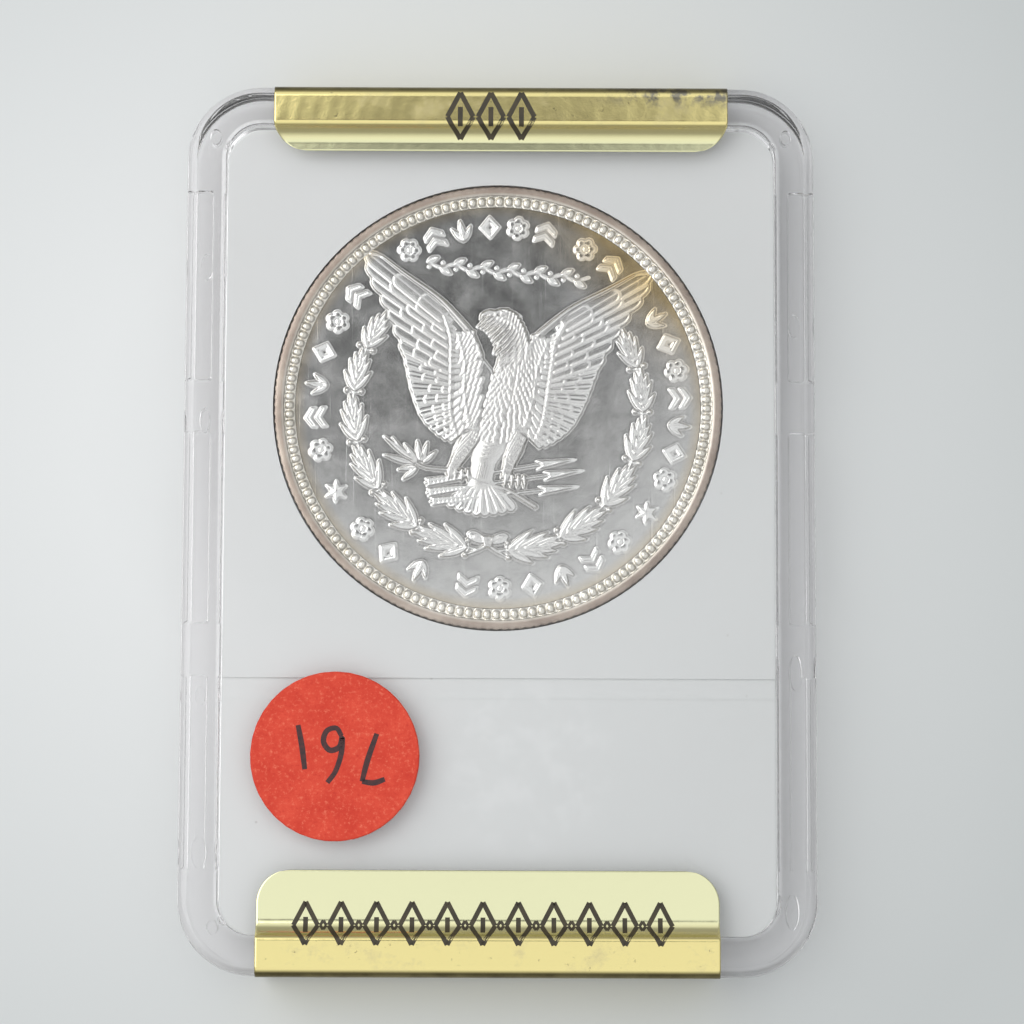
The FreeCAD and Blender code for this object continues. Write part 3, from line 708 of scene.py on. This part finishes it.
def strike_wreath(relief):
    """Two laurel branches that meet in a bow at the bottom."""
    clusters = (262, 240.5, 219, 198, 178, 160)
    for side in (-1, 1):
        arc = [mirrored(polar(STEM_RADIUS, degrees), side) for degrees in range(266, 152, -12)]
        relief.stroke(arc, (0.12, 0.10, 0.06), 0.13, samples=60)
        for order, degrees in reversed(list(enumerate(clusters))):
            strike_cluster(relief, degrees, side, 1.0 - 0.05 * order)
    for side in (-1, 1):
        relief.stroke([(0.1 * side, -11.9), (0.9 * side, -12.35), (1.7 * side, -12.75)],
                      (0.17, 0.15, 0.05), 0.14)
        loop = [(0.0, -11.45), (0.6 * side, -10.95), (1.3 * side, -10.70), (1.75 * side, -11.0),
                (1.35 * side, -11.55), (0.6 * side, -11.75), (0.0, -11.7)]
        relief.plate(catmull(loop, np.linspace(0, 1, 24)), 0.08, 0.02, 0.10)
        relief.ridge([(0.2 * side, -11.5), (0.7 * side, -11.3), (1.15 * side, -11.25)], 0.07, 0.05)
    relief.plate([(-0.5, -11.1), (0.5, -11.1), (0.32, -12.0), (-0.32, -12.0)], 0.17, 0.04, 0.05)


def strike_cluster(relief, degrees, side, scale):
    """Slender leaves up a length of stem, and two berries at its foot."""
    base = mirrored(polar(STEM_RADIUS, degrees), side)
    angle = math.radians(degrees - 95)
    along = np.array([math.cos(angle) * -side, math.sin(angle)])
    outward = base / np.hypot(*base)
    fan = [(0.02, 2.2, 2.7), (-0.20, 1.5, 2.9), (0.24, 1.5, 2.8), (-0.34, 0.7, 3.1),
           (0.38, 0.7, 3.0), (-0.55, 0.0, 2.7), (0.58, 0.0, 2.6)]
    for lean, start, length in fan:
        direction = along * math.cos(lean) + outward * math.sin(lean)
        root = base + along * start * scale
        relief.leaf(root, root + direction * length * scale, 0.60 * scale, 0.10)
    for lean in (-1.0, 1.0):
        stalk = base - along * 0.15
        berry = base + along * 0.05 + outward * lean * 0.62
        relief.stroke([stalk, (stalk + berry) / 2, berry], (0.06, 0.06, 0.06), 0.12, samples=4)
        relief.dome(berry, (0.21, 0.21), 0.0, 0.2, 0.05)


def strike_motif(relief, centre, kind):
    """One motif of the border that stands where a coin has its legend."""
    out = centre / np.hypot(*centre)
    side = np.array([-out[1], out[0]])

    def at(rise, aside):
        return centre + out * rise + side * aside

    if kind == 0:
        relief.plate([at(1.0, 0), at(0, 0.88), at(-1.0, 0), at(0, -0.88)], 0.06, 0.04)
        relief.plate([at(0.42, 0), at(0, 0.36), at(-0.42, 0), at(0, -0.36)], 0.0, 0.01)
    elif kind == 1:
        for lean in (-1, 1):
            relief.leaf(at(-0.93, 0), at(0.35, 0.86 * lean), 0.44, 0.07)
        relief.leaf(at(-0.93, 0), at(0.97, 0), 0.50, 0.09)
    elif kind == 2:
        for step in (0.0, -0.86):
            band = [at(step + 0.96, 0), at(step + 0.36, 0.84), at(step - 0.10, 0.84),
                    at(step + 0.42, 0), at(step - 0.10, -0.84), at(step + 0.36, -0.84)]
            relief.plate(band, 0.06, 0.04)
    else:
        for turn in np.arange(6) * math.pi / 3:
            petal = at(0.62 * math.cos(turn), 0.58 * math.sin(turn))
            relief.dome(petal, (0.36, 0.36), 0.0, 0.085, 0.06)
        relief.dome(centre, (0.26, 0.26), 0.0, 0.10, 0.02, over=True)


def strike_border(relief, runs):
    """Runs of motifs round the coin, each given by its first and last angle and its count."""
    for first, last, count in runs:
        for index, degrees in enumerate(np.linspace(first, last, count)):
            strike_motif(relief, polar(BORDER_RADIUS, degrees), (index + count) % 4)


def strike_vine(relief):
    """A small level vine above the head: a wavy stem with a leaf and a bud at every turn."""
    turns = 12
    stem = [np.array([-6.9 + 13.8 * step / turns, 11.85 - 0.03 * step + 0.20 * (-1) ** step])
            for step in range(turns + 1)]
    relief.stroke(stem, (0.05, 0.08, 0.05), 0.08, samples=80)
    for step, place in enumerate(stem[:-1]):
        up = -1 if step % 2 else 1
        relief.leaf(place, place + (0.95, 0.50 * up), 0.50, 0.06)
        relief.dome(place + (0.15, -0.42 * up), (0.12, 0.12), 0, 0.09)


def eagle_relief(spacing):
    relief = Relief(RELIEF_RADIUS, spacing)
    strike_border(relief, [(226.5, 248.5, 3), (264.5, 316, 6), (-19.5, 33.5, 7), (55.5, 65.5, 2),
                           (79, 123.5, 6), (145.5, 198, 6)])
    for degrees in (-31.5, 212):
        relief.star(polar(BORDER_RADIUS, degrees), 1.0, 6, 0.16, math.radians(degrees))
    strike_vine(relief)
    strike_wreath(relief)
    strike_legs_and_tail(relief)
    for side in (-1, 1):
        strike_wing(relief, side)
    strike_body(relief)
    strike_head(relief)
    strike_branch_and_arrows(relief)
    relief.smooth()
    return relief


def front_relief(spacing):
    """The side against the label: a wreath round a many-pointed star, of a generic kind."""
    relief = Relief(RELIEF_RADIUS, spacing)
    strike_border(relief, [(22, 158, 16), (202, 338, 16)])
    for degrees in (0, 180):
        relief.star(polar(15.4, degrees), 1.0, 6, 0.16, math.radians(degrees))
    strike_wreath(relief)
    relief.plate([polar(8.3, degrees) for degrees in range(0, 360, 4)], 0.05, 0.05, 0.03)
    relief.star((0, 0), 7.4, 12, 0.22, math.pi / 2)
    relief.plate([polar(1.9, degrees) for degrees in range(0, 360, 12)], 0.15, 0.05, 0.04)
    relief.smooth()
    return relief


# ---------------------------------------------------------------- the coin's pieces

def coin_point(x, y, level):
    """From the coin's own plane to the slab: turned a few degrees and set in the pocket."""
    c, s = math.cos(COIN_TURN), math.sin(COIN_TURN)
    return np.stack([COIN_X + x * c - y * s, COIN_Y + x * s + y * c, level], axis=-1)


def face_piece(name, relief, facing, material, low=0.0, high=RELIEF_RADIUS):
    """The ring of a coin face between two radii, from its relief. Its outside is a true circle."""
    count = len(relief.axis)
    middle = (relief.axis[:-1] + relief.axis[1:]) / 2
    distance = np.hypot(*np.meshgrid(middle, middle)).ravel()
    whole = distance < RELIEF_RADIUS - relief.spacing * 0.5
    cells = grid_faces(count, count)
    uses = np.bincount(cells[whole].ravel(), minlength=count * count)
    edge = (uses > 0) & (uses < 4)
    faces = cells[whole & (distance >= low) & (distance < high)]
    used = np.bincount(faces.ravel(), minlength=count * count) > 0
    x, y, height = relief.x.ravel(), relief.y.ravel(), relief.height.ravel()
    pull = np.where(edge, RELIEF_RADIUS / np.maximum(np.hypot(x, y), 1e-6), 1.0)
    x, y = x * pull, y * pull
    height = np.where(edge, 0.0, height)
    faces = (np.cumsum(used) - 1)[faces]
    field = COIN_Z + facing * (COIN_TOP - COIN_Z - FIELD_DEPTH)
    points = coin_point(x * facing, y, field + facing * height)[used]
    piece = make_object(name, points, faces, material)
    piece.data.normals_split_custom_set_from_vertices(face_normals(relief, facing)[used])
    add_attribute(piece, "frost", 0.85 * np.clip((height[used] - 0.08) / 0.10, 0, 1))
    # painted shade mask: strongest where a point lies below the relief round it
    add_attribute(piece, "hollow_shade", np.clip(relief.hollows(0.30).ravel()[used] / 0.035, 0, 1))
    add_attribute(piece, "tone", face_tone(x[used], y[used]))
    return piece


def face_normals(relief, facing):
    """Normals straight from the height field, so two rings of one face join without a seam."""
    slope_y, slope_x = np.gradient(relief.height, relief.spacing)
    c, s = math.cos(COIN_TURN), math.sin(COIN_TURN)
    x, y = (-slope_x * facing).ravel(), -slope_y.ravel()
    normals = np.stack([x * c - y * s, x * s + y * c, np.full(x.size, float(facing))], axis=-1)
    return normals / np.linalg.norm(normals, axis=1, keepdims=True)


def face_tone(x, y):
    """Golden toning that creeps in from the upper right part of the rim."""
    distance = np.hypot(x, y)
    angle = np.degrees(np.arctan2(y, x))
    patch = line_section(angle - 50, 24) * np.clip((distance - 11.5) / 4.5, 0, 1) ** 1.3
    ring = np.clip((distance - 16.3) / 1.0, 0, 1) * 0.45
    return np.clip(patch * 0.95 + ring, 0, 1)


def rim_piece(material):
    """The beaded borders, both rims and the reeded edge, as one closed band."""
    beads, reeds, bead_height = 144, 168, 0.23
    columns = 14 * beads
    rim_in, rim_out = COIN_RADIUS - 0.85, COIN_RADIUS - 0.10
    profile = [(RELIEF_RADIUS - 0.04, -FIELD_DEPTH), (RELIEF_RADIUS, -FIELD_DEPTH)]
    bead_rows = np.linspace(RELIEF_RADIUS + 0.06, rim_in - 0.03, 10)
    profile += [(radius, -FIELD_DEPTH) for radius in bead_rows]
    profile += [(rim_in + 0.02, -0.06), (rim_in + 0.10, -0.012), (rim_in + 0.30, 0.0),
                (rim_out - 0.25, -0.004), (rim_out - 0.04, -0.02), (rim_out + 0.05, -0.06),
                (COIN_RADIUS - 0.01, -0.14)]
    half_height = COIN_TOP - COIN_Z
    upper = [(radius, COIN_TOP + drop) for radius, drop in profile]
    lower = [(radius, 2 * COIN_Z - level) for radius, level in upper[::-1]]
    wall = [(COIN_RADIUS - 0.005, COIN_Z + half_height * share) for share in (0.5, 0.0, -0.5)]
    rings = np.array(upper + wall + lower)
    angle = np.linspace(0, 2 * math.pi, columns, endpoint=False)
    radius = np.repeat(rings[:, :1], columns, axis=1)
    level = np.repeat(rings[:, 1:], columns, axis=1)
    centre, reach = (bead_rows[0] + bead_rows[-1]) / 2, (bead_rows[-1] - bead_rows[0]) / 2
    place = np.abs((angle * beads / (2 * math.pi)) % 1.0 - 0.5) * 2
    for row, (ring_radius, ring_level) in enumerate(rings):
        across = abs(ring_radius - centre) / reach
        drop = half_height - abs(ring_level - COIN_Z)
        if across <= 1.001 and abs(drop - FIELD_DEPTH) < 1e-6:
            dome = np.sqrt(np.clip(1 - (place / 0.92) ** 2 - min(across, 1.0) ** 2, 0, 1))
            level[row] += np.sign(ring_level - COIN_Z) * bead_height * dome
    reed_depth = 0.05 * (0.5 + 0.5 * np.sign(np.sin(angle * reeds)))
    radius[rings[:, 0] > COIN_RADIUS - 0.06] -= reed_depth
    points = coin_point(radius * np.cos(angle), radius * np.sin(angle), level).reshape(-1, 3)
    faces = grid_faces(len(rings), columns, closed=True)[:, ::-1]
    piece = make_object("coin_rim", points, faces, material)
    rim_share = np.clip((rings[:, :1] - rim_in) / 0.25, 0, 1)
    add_attribute(piece, "rim", np.repeat(rim_share, columns, axis=1))
    return piece


def build_coin():
    silver = coin_silver()
    spacing = 0.07
    eagle = eagle_relief(spacing)
    pieces = [face_piece("coin_eagle", eagle, 1, silver, 0.0, SPLIT_RADIUS),
              face_piece("coin_wreath_and_border", eagle, 1, silver, SPLIT_RADIUS),
              face_piece("coin_front_face", front_relief(0.14), -1, silver),
              rim_piece(coin_rim_silver())]
    for piece in pieces:
        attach(piece, "coin")
    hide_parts("coin")


# ---------------------------------------------------------------- foil seals

class SealPath:
    """The line a foil strip follows over one end: distance along it to place and normal."""

    def __init__(self, node, direction, back_reach, front_reach):
        low, high = node_box(node)
        self.middle_x = (low[0] + high[0]) / 2
        self.half_width = (high[0] - low[0]) / 2
        self.direction = direction
        self.plane = (low[2] + high[2]) / 2
        gap, lift = 0.12, 0.07      # from the shells to the strip's outside and to its middle
        inner_round, outer_round, rim_width, rim_height = 0.45, 0.85, 3.4, 1.1
        leave_angle, lead_in, arc_steps = math.radians(55), 0.75, 13
        self.rim_face = high[2] - gap - self.plane
        self.face_y = max(abs(low[1]), abs(high[1])) - gap
        floor = self.rim_face - rim_height + lift
        inner = (self.face_y - rim_width + inner_round, self.rim_face - inner_round)
        outer = (self.face_y - outer_round, self.rim_face - outer_round)
        right = math.pi / 2
        arcs = self.arc(inner, inner_round + lift, right + leave_angle, right, arc_steps)
        arcs += self.arc(outer, outer_round + lift, right, 0, arc_steps)
        leave = np.array(arcs[0])
        turn = np.array([leave[0] - (leave[1] - floor) / math.tan(leave_angle), floor])
        start = turn - np.array([lead_in, 0])
        ramp = [list(start * (1 - t) ** 2 + turn * 2 * t * (1 - t) + leave * t ** 2)
                for t in np.linspace(0, 1, 14)[:-1]]
        upper, lower = ([[self.face_y - reach, floor]] + ramp + arcs
                        for reach in (back_reach, front_reach))
        self.line = np.array(upper + [[y, -z] for y, z in lower[::-1]])
        steps = np.hypot(*np.diff(self.line, axis=0).T)
        self.reach = np.concatenate([[0], np.cumsum(steps)])
        self.length = self.reach[-1]
        self.crest = self.reach[len(ramp) + arc_steps]

    @staticmethod
    def arc(centre, radius, start, stop, count):
        return [[centre[0] + radius * math.cos(turn), centre[1] + radius * math.sin(turn)]
                for turn in np.linspace(start, stop, count)]

    def at(self, across, along, lift=0.0):
        """Points for places across (mm from the strip's middle) and along it (mm from its tip)."""
        near = 0.10
        y, z = self.on_line(along)
        ahead_y, ahead_z = self.on_line(along + near)
        behind_y, behind_z = self.on_line(along - near)
        step_y, step_z = ahead_y - behind_y, ahead_z - behind_z
        rise = (lift + self.wrinkle(across, along)) / np.maximum(np.hypot(step_y, step_z), 1e-9)
        y, z = y - step_z * rise, z + step_y * rise
        return np.stack([self.middle_x + across, self.direction * y, self.plane + z], axis=-1)

    def on_line(self, along):
        return tuple(np.interp(along, self.reach, self.line[:, axis]) for axis in (0, 1))

    def wrinkle(self, across, along):
        """Shallow waves that run along the strip, strongest near the fold."""
        near_fold = line_section(along - self.crest, 2.2)
        waves = (np.sin(across * 0.9 + 0.7 * np.sin(along * 0.8 + 1.0))
                 + 0.6 * np.sin(across * 2.3 + along * 0.5 + self.direction)
                 + 0.45 * np.sin(across * 4.7 - along * 1.3))
        return 0.002 * waves * (0.4 + near_fold)


def seal_piece(name, path, material):
    """The strip's upper skin and underside, with round corners at both free ends."""
    spacing, count, half_sheet, corner = 0.14, 241, 0.02, 2.8
    even = np.arange(0, path.length, spacing)
    stations = np.unique(np.concatenate([path.reach, even]))
    along = np.repeat(stations[:, None], count, axis=1)
    from_tip = np.minimum(stations, path.length - stations)
    dip = np.clip(corner - from_tip, 0, corner)
    half = path.half_width - corner + np.sqrt(np.clip(corner ** 2 - dip ** 2, 0, None))
    across = half[:, None] * np.linspace(-1, 1, count)
    top, under = (path.at(across, along, lift) for lift in (half_sheet, -half_sheet))
    rows = len(stations)
    offset = rows * count
    faces = grid_faces(rows, count)
    border = edge_loop(rows, count)
    following = np.roll(border, -1)
    rim = np.stack([border, border + offset, following + offset, following], axis=-1)
    points = np.concatenate([top.reshape(-1, 3), under.reshape(-1, 3)])
    faces = np.concatenate([faces, faces[:, ::-1] + offset, rim])
    if path.direction < 0:
        faces = faces[:, ::-1]
    piece = make_object(name, points, faces, material)
    along = along.ravel()
    wear = line_section(along - path.crest - 1.2, 1.5)
    rise = np.clip((np.minimum(along, path.length - along) - path.crest + 2.2) / 1.6, 0, 1)
    outward, level = path.on_line(along)
    # where the strip turns down over the end face: the mask for the foil's painted shade
    edge = np.clip((outward - path.face_y + 0.60) / 0.35, 0, 1)
    edge *= np.clip((np.abs(level) - path.rim_face + 1.0) / 0.4, 0, 1)
    for layer, values in (("edge", edge), ("wear", wear), ("rise", rise)):
        add_attribute(piece, layer, np.tile(values, 2))
    return piece


def edge_loop(rows, columns):
    """Vertex numbers round the border of a grid."""
    first = np.arange(columns)
    right = np.arange(1, rows) * columns + columns - 1
    last = (rows - 1) * columns + np.arange(columns - 2, -1, -1)
    left = np.arange(rows - 2, 0, -1) * columns
    return np.concatenate([first, right, last, left])


def rails(line, half_width):
    """The two edges and the middle of a band along a flat line."""
    ahead = np.gradient(line, axis=0)
    ahead /= np.maximum(np.hypot(*ahead.T)[:, None], 1e-9)
    aside = np.stack([-ahead[:, 1], ahead[:, 0]], axis=-1) * half_width
    return np.stack([line - aside, line, line + aside], axis=1)


def bands_object(name, bands, flip, material):
    """One object from bands, each made of rows of three points."""
    points = np.concatenate([band.reshape(-1, 3) for band in bands])
    starts = np.cumsum([0] + [3 * len(band) for band in bands])
    faces = np.concatenate([grid_faces(len(band), 3) + start for band, start in zip(bands, starts)])
    return make_object(name, points, faces[:, ::-1] if flip else faces, material)


def print_on_seal(name, path, bars, material):
    """Ink bars on a seal. Each bar runs from one (across, along) place to another."""
    bands = []
    for start, stop, width in bars:
        start, stop = np.array(start, float), np.array(stop, float)
        steps = max(2, int(np.hypot(*(stop - start)) / 0.12) + 1)
        line = start + (stop - start) * np.linspace(0, 1, steps)[:, None]
        across, along = np.moveaxis(rails(line, width / 2), -1, 0)
        bands.append(path.at(across, along, 0.026))
    return bands_object(name, bands, path.direction < 0, material)


def lozenge_bars(x, y, half_width, half_height, width, upright=0.0):
    """Bars that close a lozenge round a place, and one upright in it where it has a length."""
    corners = [(x + half_width, y), (x, y + half_height), (x - half_width, y), (x, y - half_height)]
    bars = [(start, stop, width) for start, stop in zip(corners, corners[1:] + corners[:1])]
    if upright:
        bars.append(((x, y - upright / 2), (x, y + upright / 2), width))
    return bars


def coin_seal_bars():
    """Three lozenges, each with a bar in it."""
    return sum((lozenge_bars(-0.85 + 2.6 * index, 3.15, 1.10, 2.1, 0.42, 1.7)
                for index in (-1, 0, 1)), [])


def label_seal_bars():
    """A long row of lozenges, each with a bar in it, and a small lozenge between each pair."""
    pitch, count, middle = 2.95, 11, 4.6
    bars = []
    for index in range(count):
        x = -0.4 + pitch * (index - (count - 1) / 2)
        bars += lozenge_bars(x, middle, 1.02, 1.95, 0.40, 1.4)
        if index < count - 1:
            bars += lozenge_bars(x + pitch / 2, middle, 0.26, 0.42, 0.26)
    return bars


def build_seals():
    foil = gold_foil()
    print_ink = ink("printed_ink", 900.0, 3.0, 0.3, (0.030, 0.024, 0.012), (0.06, 0.045, 0.02), 0.35)
    coin_path = SealPath("coin_end_seal", 1, 5.4, 7.6)
    label_path = SealPath("label_end_seal", -1, 8.8, 4.2)
    jobs = (("coin_end", coin_path, coin_seal_bars()), ("label_end", label_path, label_seal_bars()))
    for end, path, bars in jobs:
        strip = seal_piece(end + "_foil", path, foil)
        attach(strip, "case")
        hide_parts(end + "_seal")
        marks = print_on_seal(end + "_foil_print", path, bars, print_ink)
        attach(marks, "case")


# ---------------------------------------------------------------- sticker and label

def sticker_lift(x, y, radius):
    """How far the sticker stands off the window: its edge curls up a little on one side."""
    share = np.hypot(x, y) / radius
    return 0.02 * share ** 4 * (1 + np.sin(np.arctan2(y, x) + 0.6)) + 0.004 * np.sin(x * 1.3 + y)


def build_sticker():
    low, high = node_box("price_sticker")
    centre = (low + high) / 2
    radius = (high[0] - low[0]) / 2 - 0.02
    rings, columns = 42, 220
    shares = np.concatenate([np.linspace(0.002, 1, rings), [1.0]])
    angle = np.linspace(0, 2 * math.pi, columns, endpoint=False)
    r, a = np.meshgrid(shares * radius, angle, indexing="ij")
    rough_edge = 1 + 0.0012 * np.sin(a * 37) * (r / radius) ** 20
    x, y = r * np.cos(a) * rough_edge, r * np.sin(a) * rough_edge
    paper_top = low[2] + 0.08
    z = paper_top + sticker_lift(x, y, radius)
    z[-1] = low[2] + 0.005
    points = np.stack([centre[0] + x, centre[1] + y, z], axis=-1).reshape(-1, 3)
    sticker = make_object("sticker_disc", points, grid_faces(rings + 1, columns, closed=True),
                          sticker_paper())
    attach(sticker, "case")
    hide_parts("price_sticker")
    build_pen_marks(centre, radius, paper_top)


def build_pen_marks(centre, radius, level):
    """A number written by hand, upright when the coin end is at the bottom."""
    strokes = [
        [(-3.1, 2.6), (-2.75, 0.8), (-2.5, -1.1)],
        [(0.55, 1.7), (0.1, 2.35), (-0.7, 2.1), (-0.95, 1.2), (-0.4, 0.5), (0.4, 0.8), (0.6, 1.6),
         (0.55, 0.3), (0.1, -1.2), (-0.6, -2.2)],
        [(4.2, -1.9), (3.3, -2.2), (2.3, -2.1)],
        [(2.3, -2.1), (2.75, -0.3), (3.5, 1.9)],
    ]
    samples = 48
    half_width = 0.19 + 0.05 * np.sin(np.linspace(0.2, 2.9, samples))[:, None]
    bands = []
    for stroke in strokes:
        x, y = np.moveaxis(rails(catmull(stroke, np.linspace(0, 1, samples)), half_width), -1, 0)
        z = level + 0.005 + sticker_lift(x, y, radius)
        bands.append(np.stack([centre[0] + x, centre[1] + y, z], axis=-1))
    pen_ink = ink("pen_ink", 2600.0, 2.0, 0.35, (0.075, 0.014, 0.014), (0.03, 0.01, 0.012), 0.5)
    marks = bands_object("sticker_pen_marks", bands, True, pen_ink)
    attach(marks, "case")


def flat_bars(name, bars, level, material):
    """Printed rectangles on the label's underside; each bar is x, y, width and length."""
    points, faces = [], []
    for x, y, width, length in bars:
        first = len(points)
        for share_x, share_y in ((-0.5, -0.5), (-0.5, 0.5), (0.5, 0.5), (0.5, -0.5)):
            points.append((x + share_x * width, y + share_y * length, level))
        faces.append((first, first + 1, first + 2, first + 3))
    piece = make_object(name, points, faces, material, smooth=False)
    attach(piece, "case")
    return piece


def build_label():
    """The label's print, seen from the front: a border, plain bars and a bar pattern."""
    low, high = node_box("label_card")
    x, y, _ = (low + high) / 2
    half_x, half_y, _ = (high - low) / 2
    level = low[2] - 0.004
    edge, line = 0.9, 0.35
    frame_x, frame_y = half_x - edge, half_y - edge
    border = []
    for side in (-1, 1):
        border.append((x, y + side * frame_y, 2 * frame_x + line, line))
        border.append((x + side * frame_x, y, line, 2 * frame_y - line))
    border.append((x, y + half_y - 3.0, 2 * half_x - 4.4, 2.6))
    flat_bars("label_border", border, level, label_ink("label_green", (0.05, 0.22, 0.16)))
    rows = [(-9.0, 2.2, 22.0), (-11.5, -0.2, 17.0), (-7.5, -2.6, 25.0)]
    lines = [(x + right, y + up, width, 1.1) for right, up, width in rows]
    rng = np.random.default_rng(11)
    cursor = x + 6.4
    while cursor < x + half_x - 3.2:
        width = rng.choice([0.18, 0.3, 0.48])
        lines.append((cursor + width / 2, y - 1.6, width, 8.0))
        cursor += width + rng.choice([0.2, 0.34])
    flat_bars("label_bars", lines, level, label_ink("label_black", (0.03, 0.03, 0.032)))


# ---------------------------------------------------------------- CAD nodes that stay

def dress_cad_nodes():
    plastic = clear_plastic()
    looks = {"front_shell": plastic, "back_shell": plastic, "coin_insert": white_plastic(),
             "label_card": label_paper()}
    for node, material in looks.items():
        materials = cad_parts[node].data.materials
        materials.clear()
        materials.append(material)


# ---------------------------------------------------------------- stage, light and camera

def build_stage():
    half = 900.0
    corners = [(-half, -half, 0), (half, -half, 0), (half, half, 0), (-half, half, 0)]
    floor = make_object("table_top", corners, [(0, 1, 2, 3)], table_top(), smooth=False)


def area_light(name, place, aim, width, length, power, colour):
    light = bpy.data.lights.new(name, "AREA")
    light.shape = "RECTANGLE"
    light.size, light.size_y = width, length
    light.energy = power
    light.color = colour
    item = bpy.data.objects.new(name, light)
    item.location = place
    item.rotation_euler = (Vector(aim) - Vector(place)).to_track_quat("-Z", "Y").to_euler()
    bpy.context.scene.collection.objects.link(item)


def build_world():
    """A bright tent, dark towards the horizon, with the dim round patch of the camera's place."""
    world = bpy.data.worlds.new("studio")
    bpy.context.scene.world = world
    nodes = Nodes("studio", world)
    place = nodes.add("TexCoord").outputs["Generated"]

    def cone(lean_x, lean_y, inner, outer, inside, outside):
        """A smooth step in brightness by the angle from a direction near the zenith."""
        toward = Vector((math.tan(math.radians(lean_x)), math.tan(math.radians(lean_y)), 1.0))
        dot = nodes.add("VectorMath", {0: place, 1: toward.normalized()}, operation="DOT_PRODUCT")
        spans = {"Value": dot.outputs["Value"], "From Min": math.cos(math.radians(outer)),
                 "From Max": math.cos(math.radians(inner)), "To Min": outside, "To Max": inside}
        return nodes.add("MapRange", spans, interpolation_type="SMOOTHSTEP").outputs[0]

    tent = cone(-6.0, 0.0, 30.0, 72.0, 1.0, 0.38)
    patch = cone(-1.2, 10.4, 1.0, 7.6, 0.10, 1.0)
    glow = {"Color": (0.965, 0.985, 1.0), "Strength": nodes.times(tent, patch)}
    nodes.add("OutputWorld", {"Surface": nodes.add("Background", glow).outputs[0]})


def build_lights():
    aim = (0.0, 0.0, 0.0)
    area_light("key", (-0.24, 0.08, 0.27), aim, 0.34, 0.42, 0.60, (1.0, 1.0, 0.99))


def build_camera():
    """A long lens high over the slab, leaning a little towards the label end."""
    tilt, roll = math.radians(6.3), math.radians(0.23)
    distance, lens = 0.280, 116.8
    aim = Vector((0.00108, 0.00124, 0.007))
    forward = Vector((0.0, math.sin(tilt), -math.cos(tilt)))
    up = Vector((0.0, math.cos(tilt), math.sin(tilt)))
    right = Vector((1.0, 0.0, 0.0))
    turned_right = right * math.cos(roll) + up * math.sin(roll)
    turned_up = up * math.cos(roll) - right * math.sin(roll)
    camera = bpy.data.cameras.new("camera")
    camera.lens = lens
    camera.sensor_width = 36.0
    camera.clip_start, camera.clip_end = 0.01, 10.0
    item = bpy.data.objects.new("camera", camera)
    axes = Matrix((turned_right, turned_up, -forward)).transposed().to_4x4()
    item.matrix_world = Matrix.Translation(aim - forward * distance) @ axes
    bpy.context.scene.collection.objects.link(item)
    bpy.context.scene.camera = item


dress_cad_nodes()
build_coin()
build_seals()
build_sticker()
build_label()
build_stage()
build_world()
build_lights()
build_camera()

bpy.context.scene.view_settings.view_transform = "Standard"
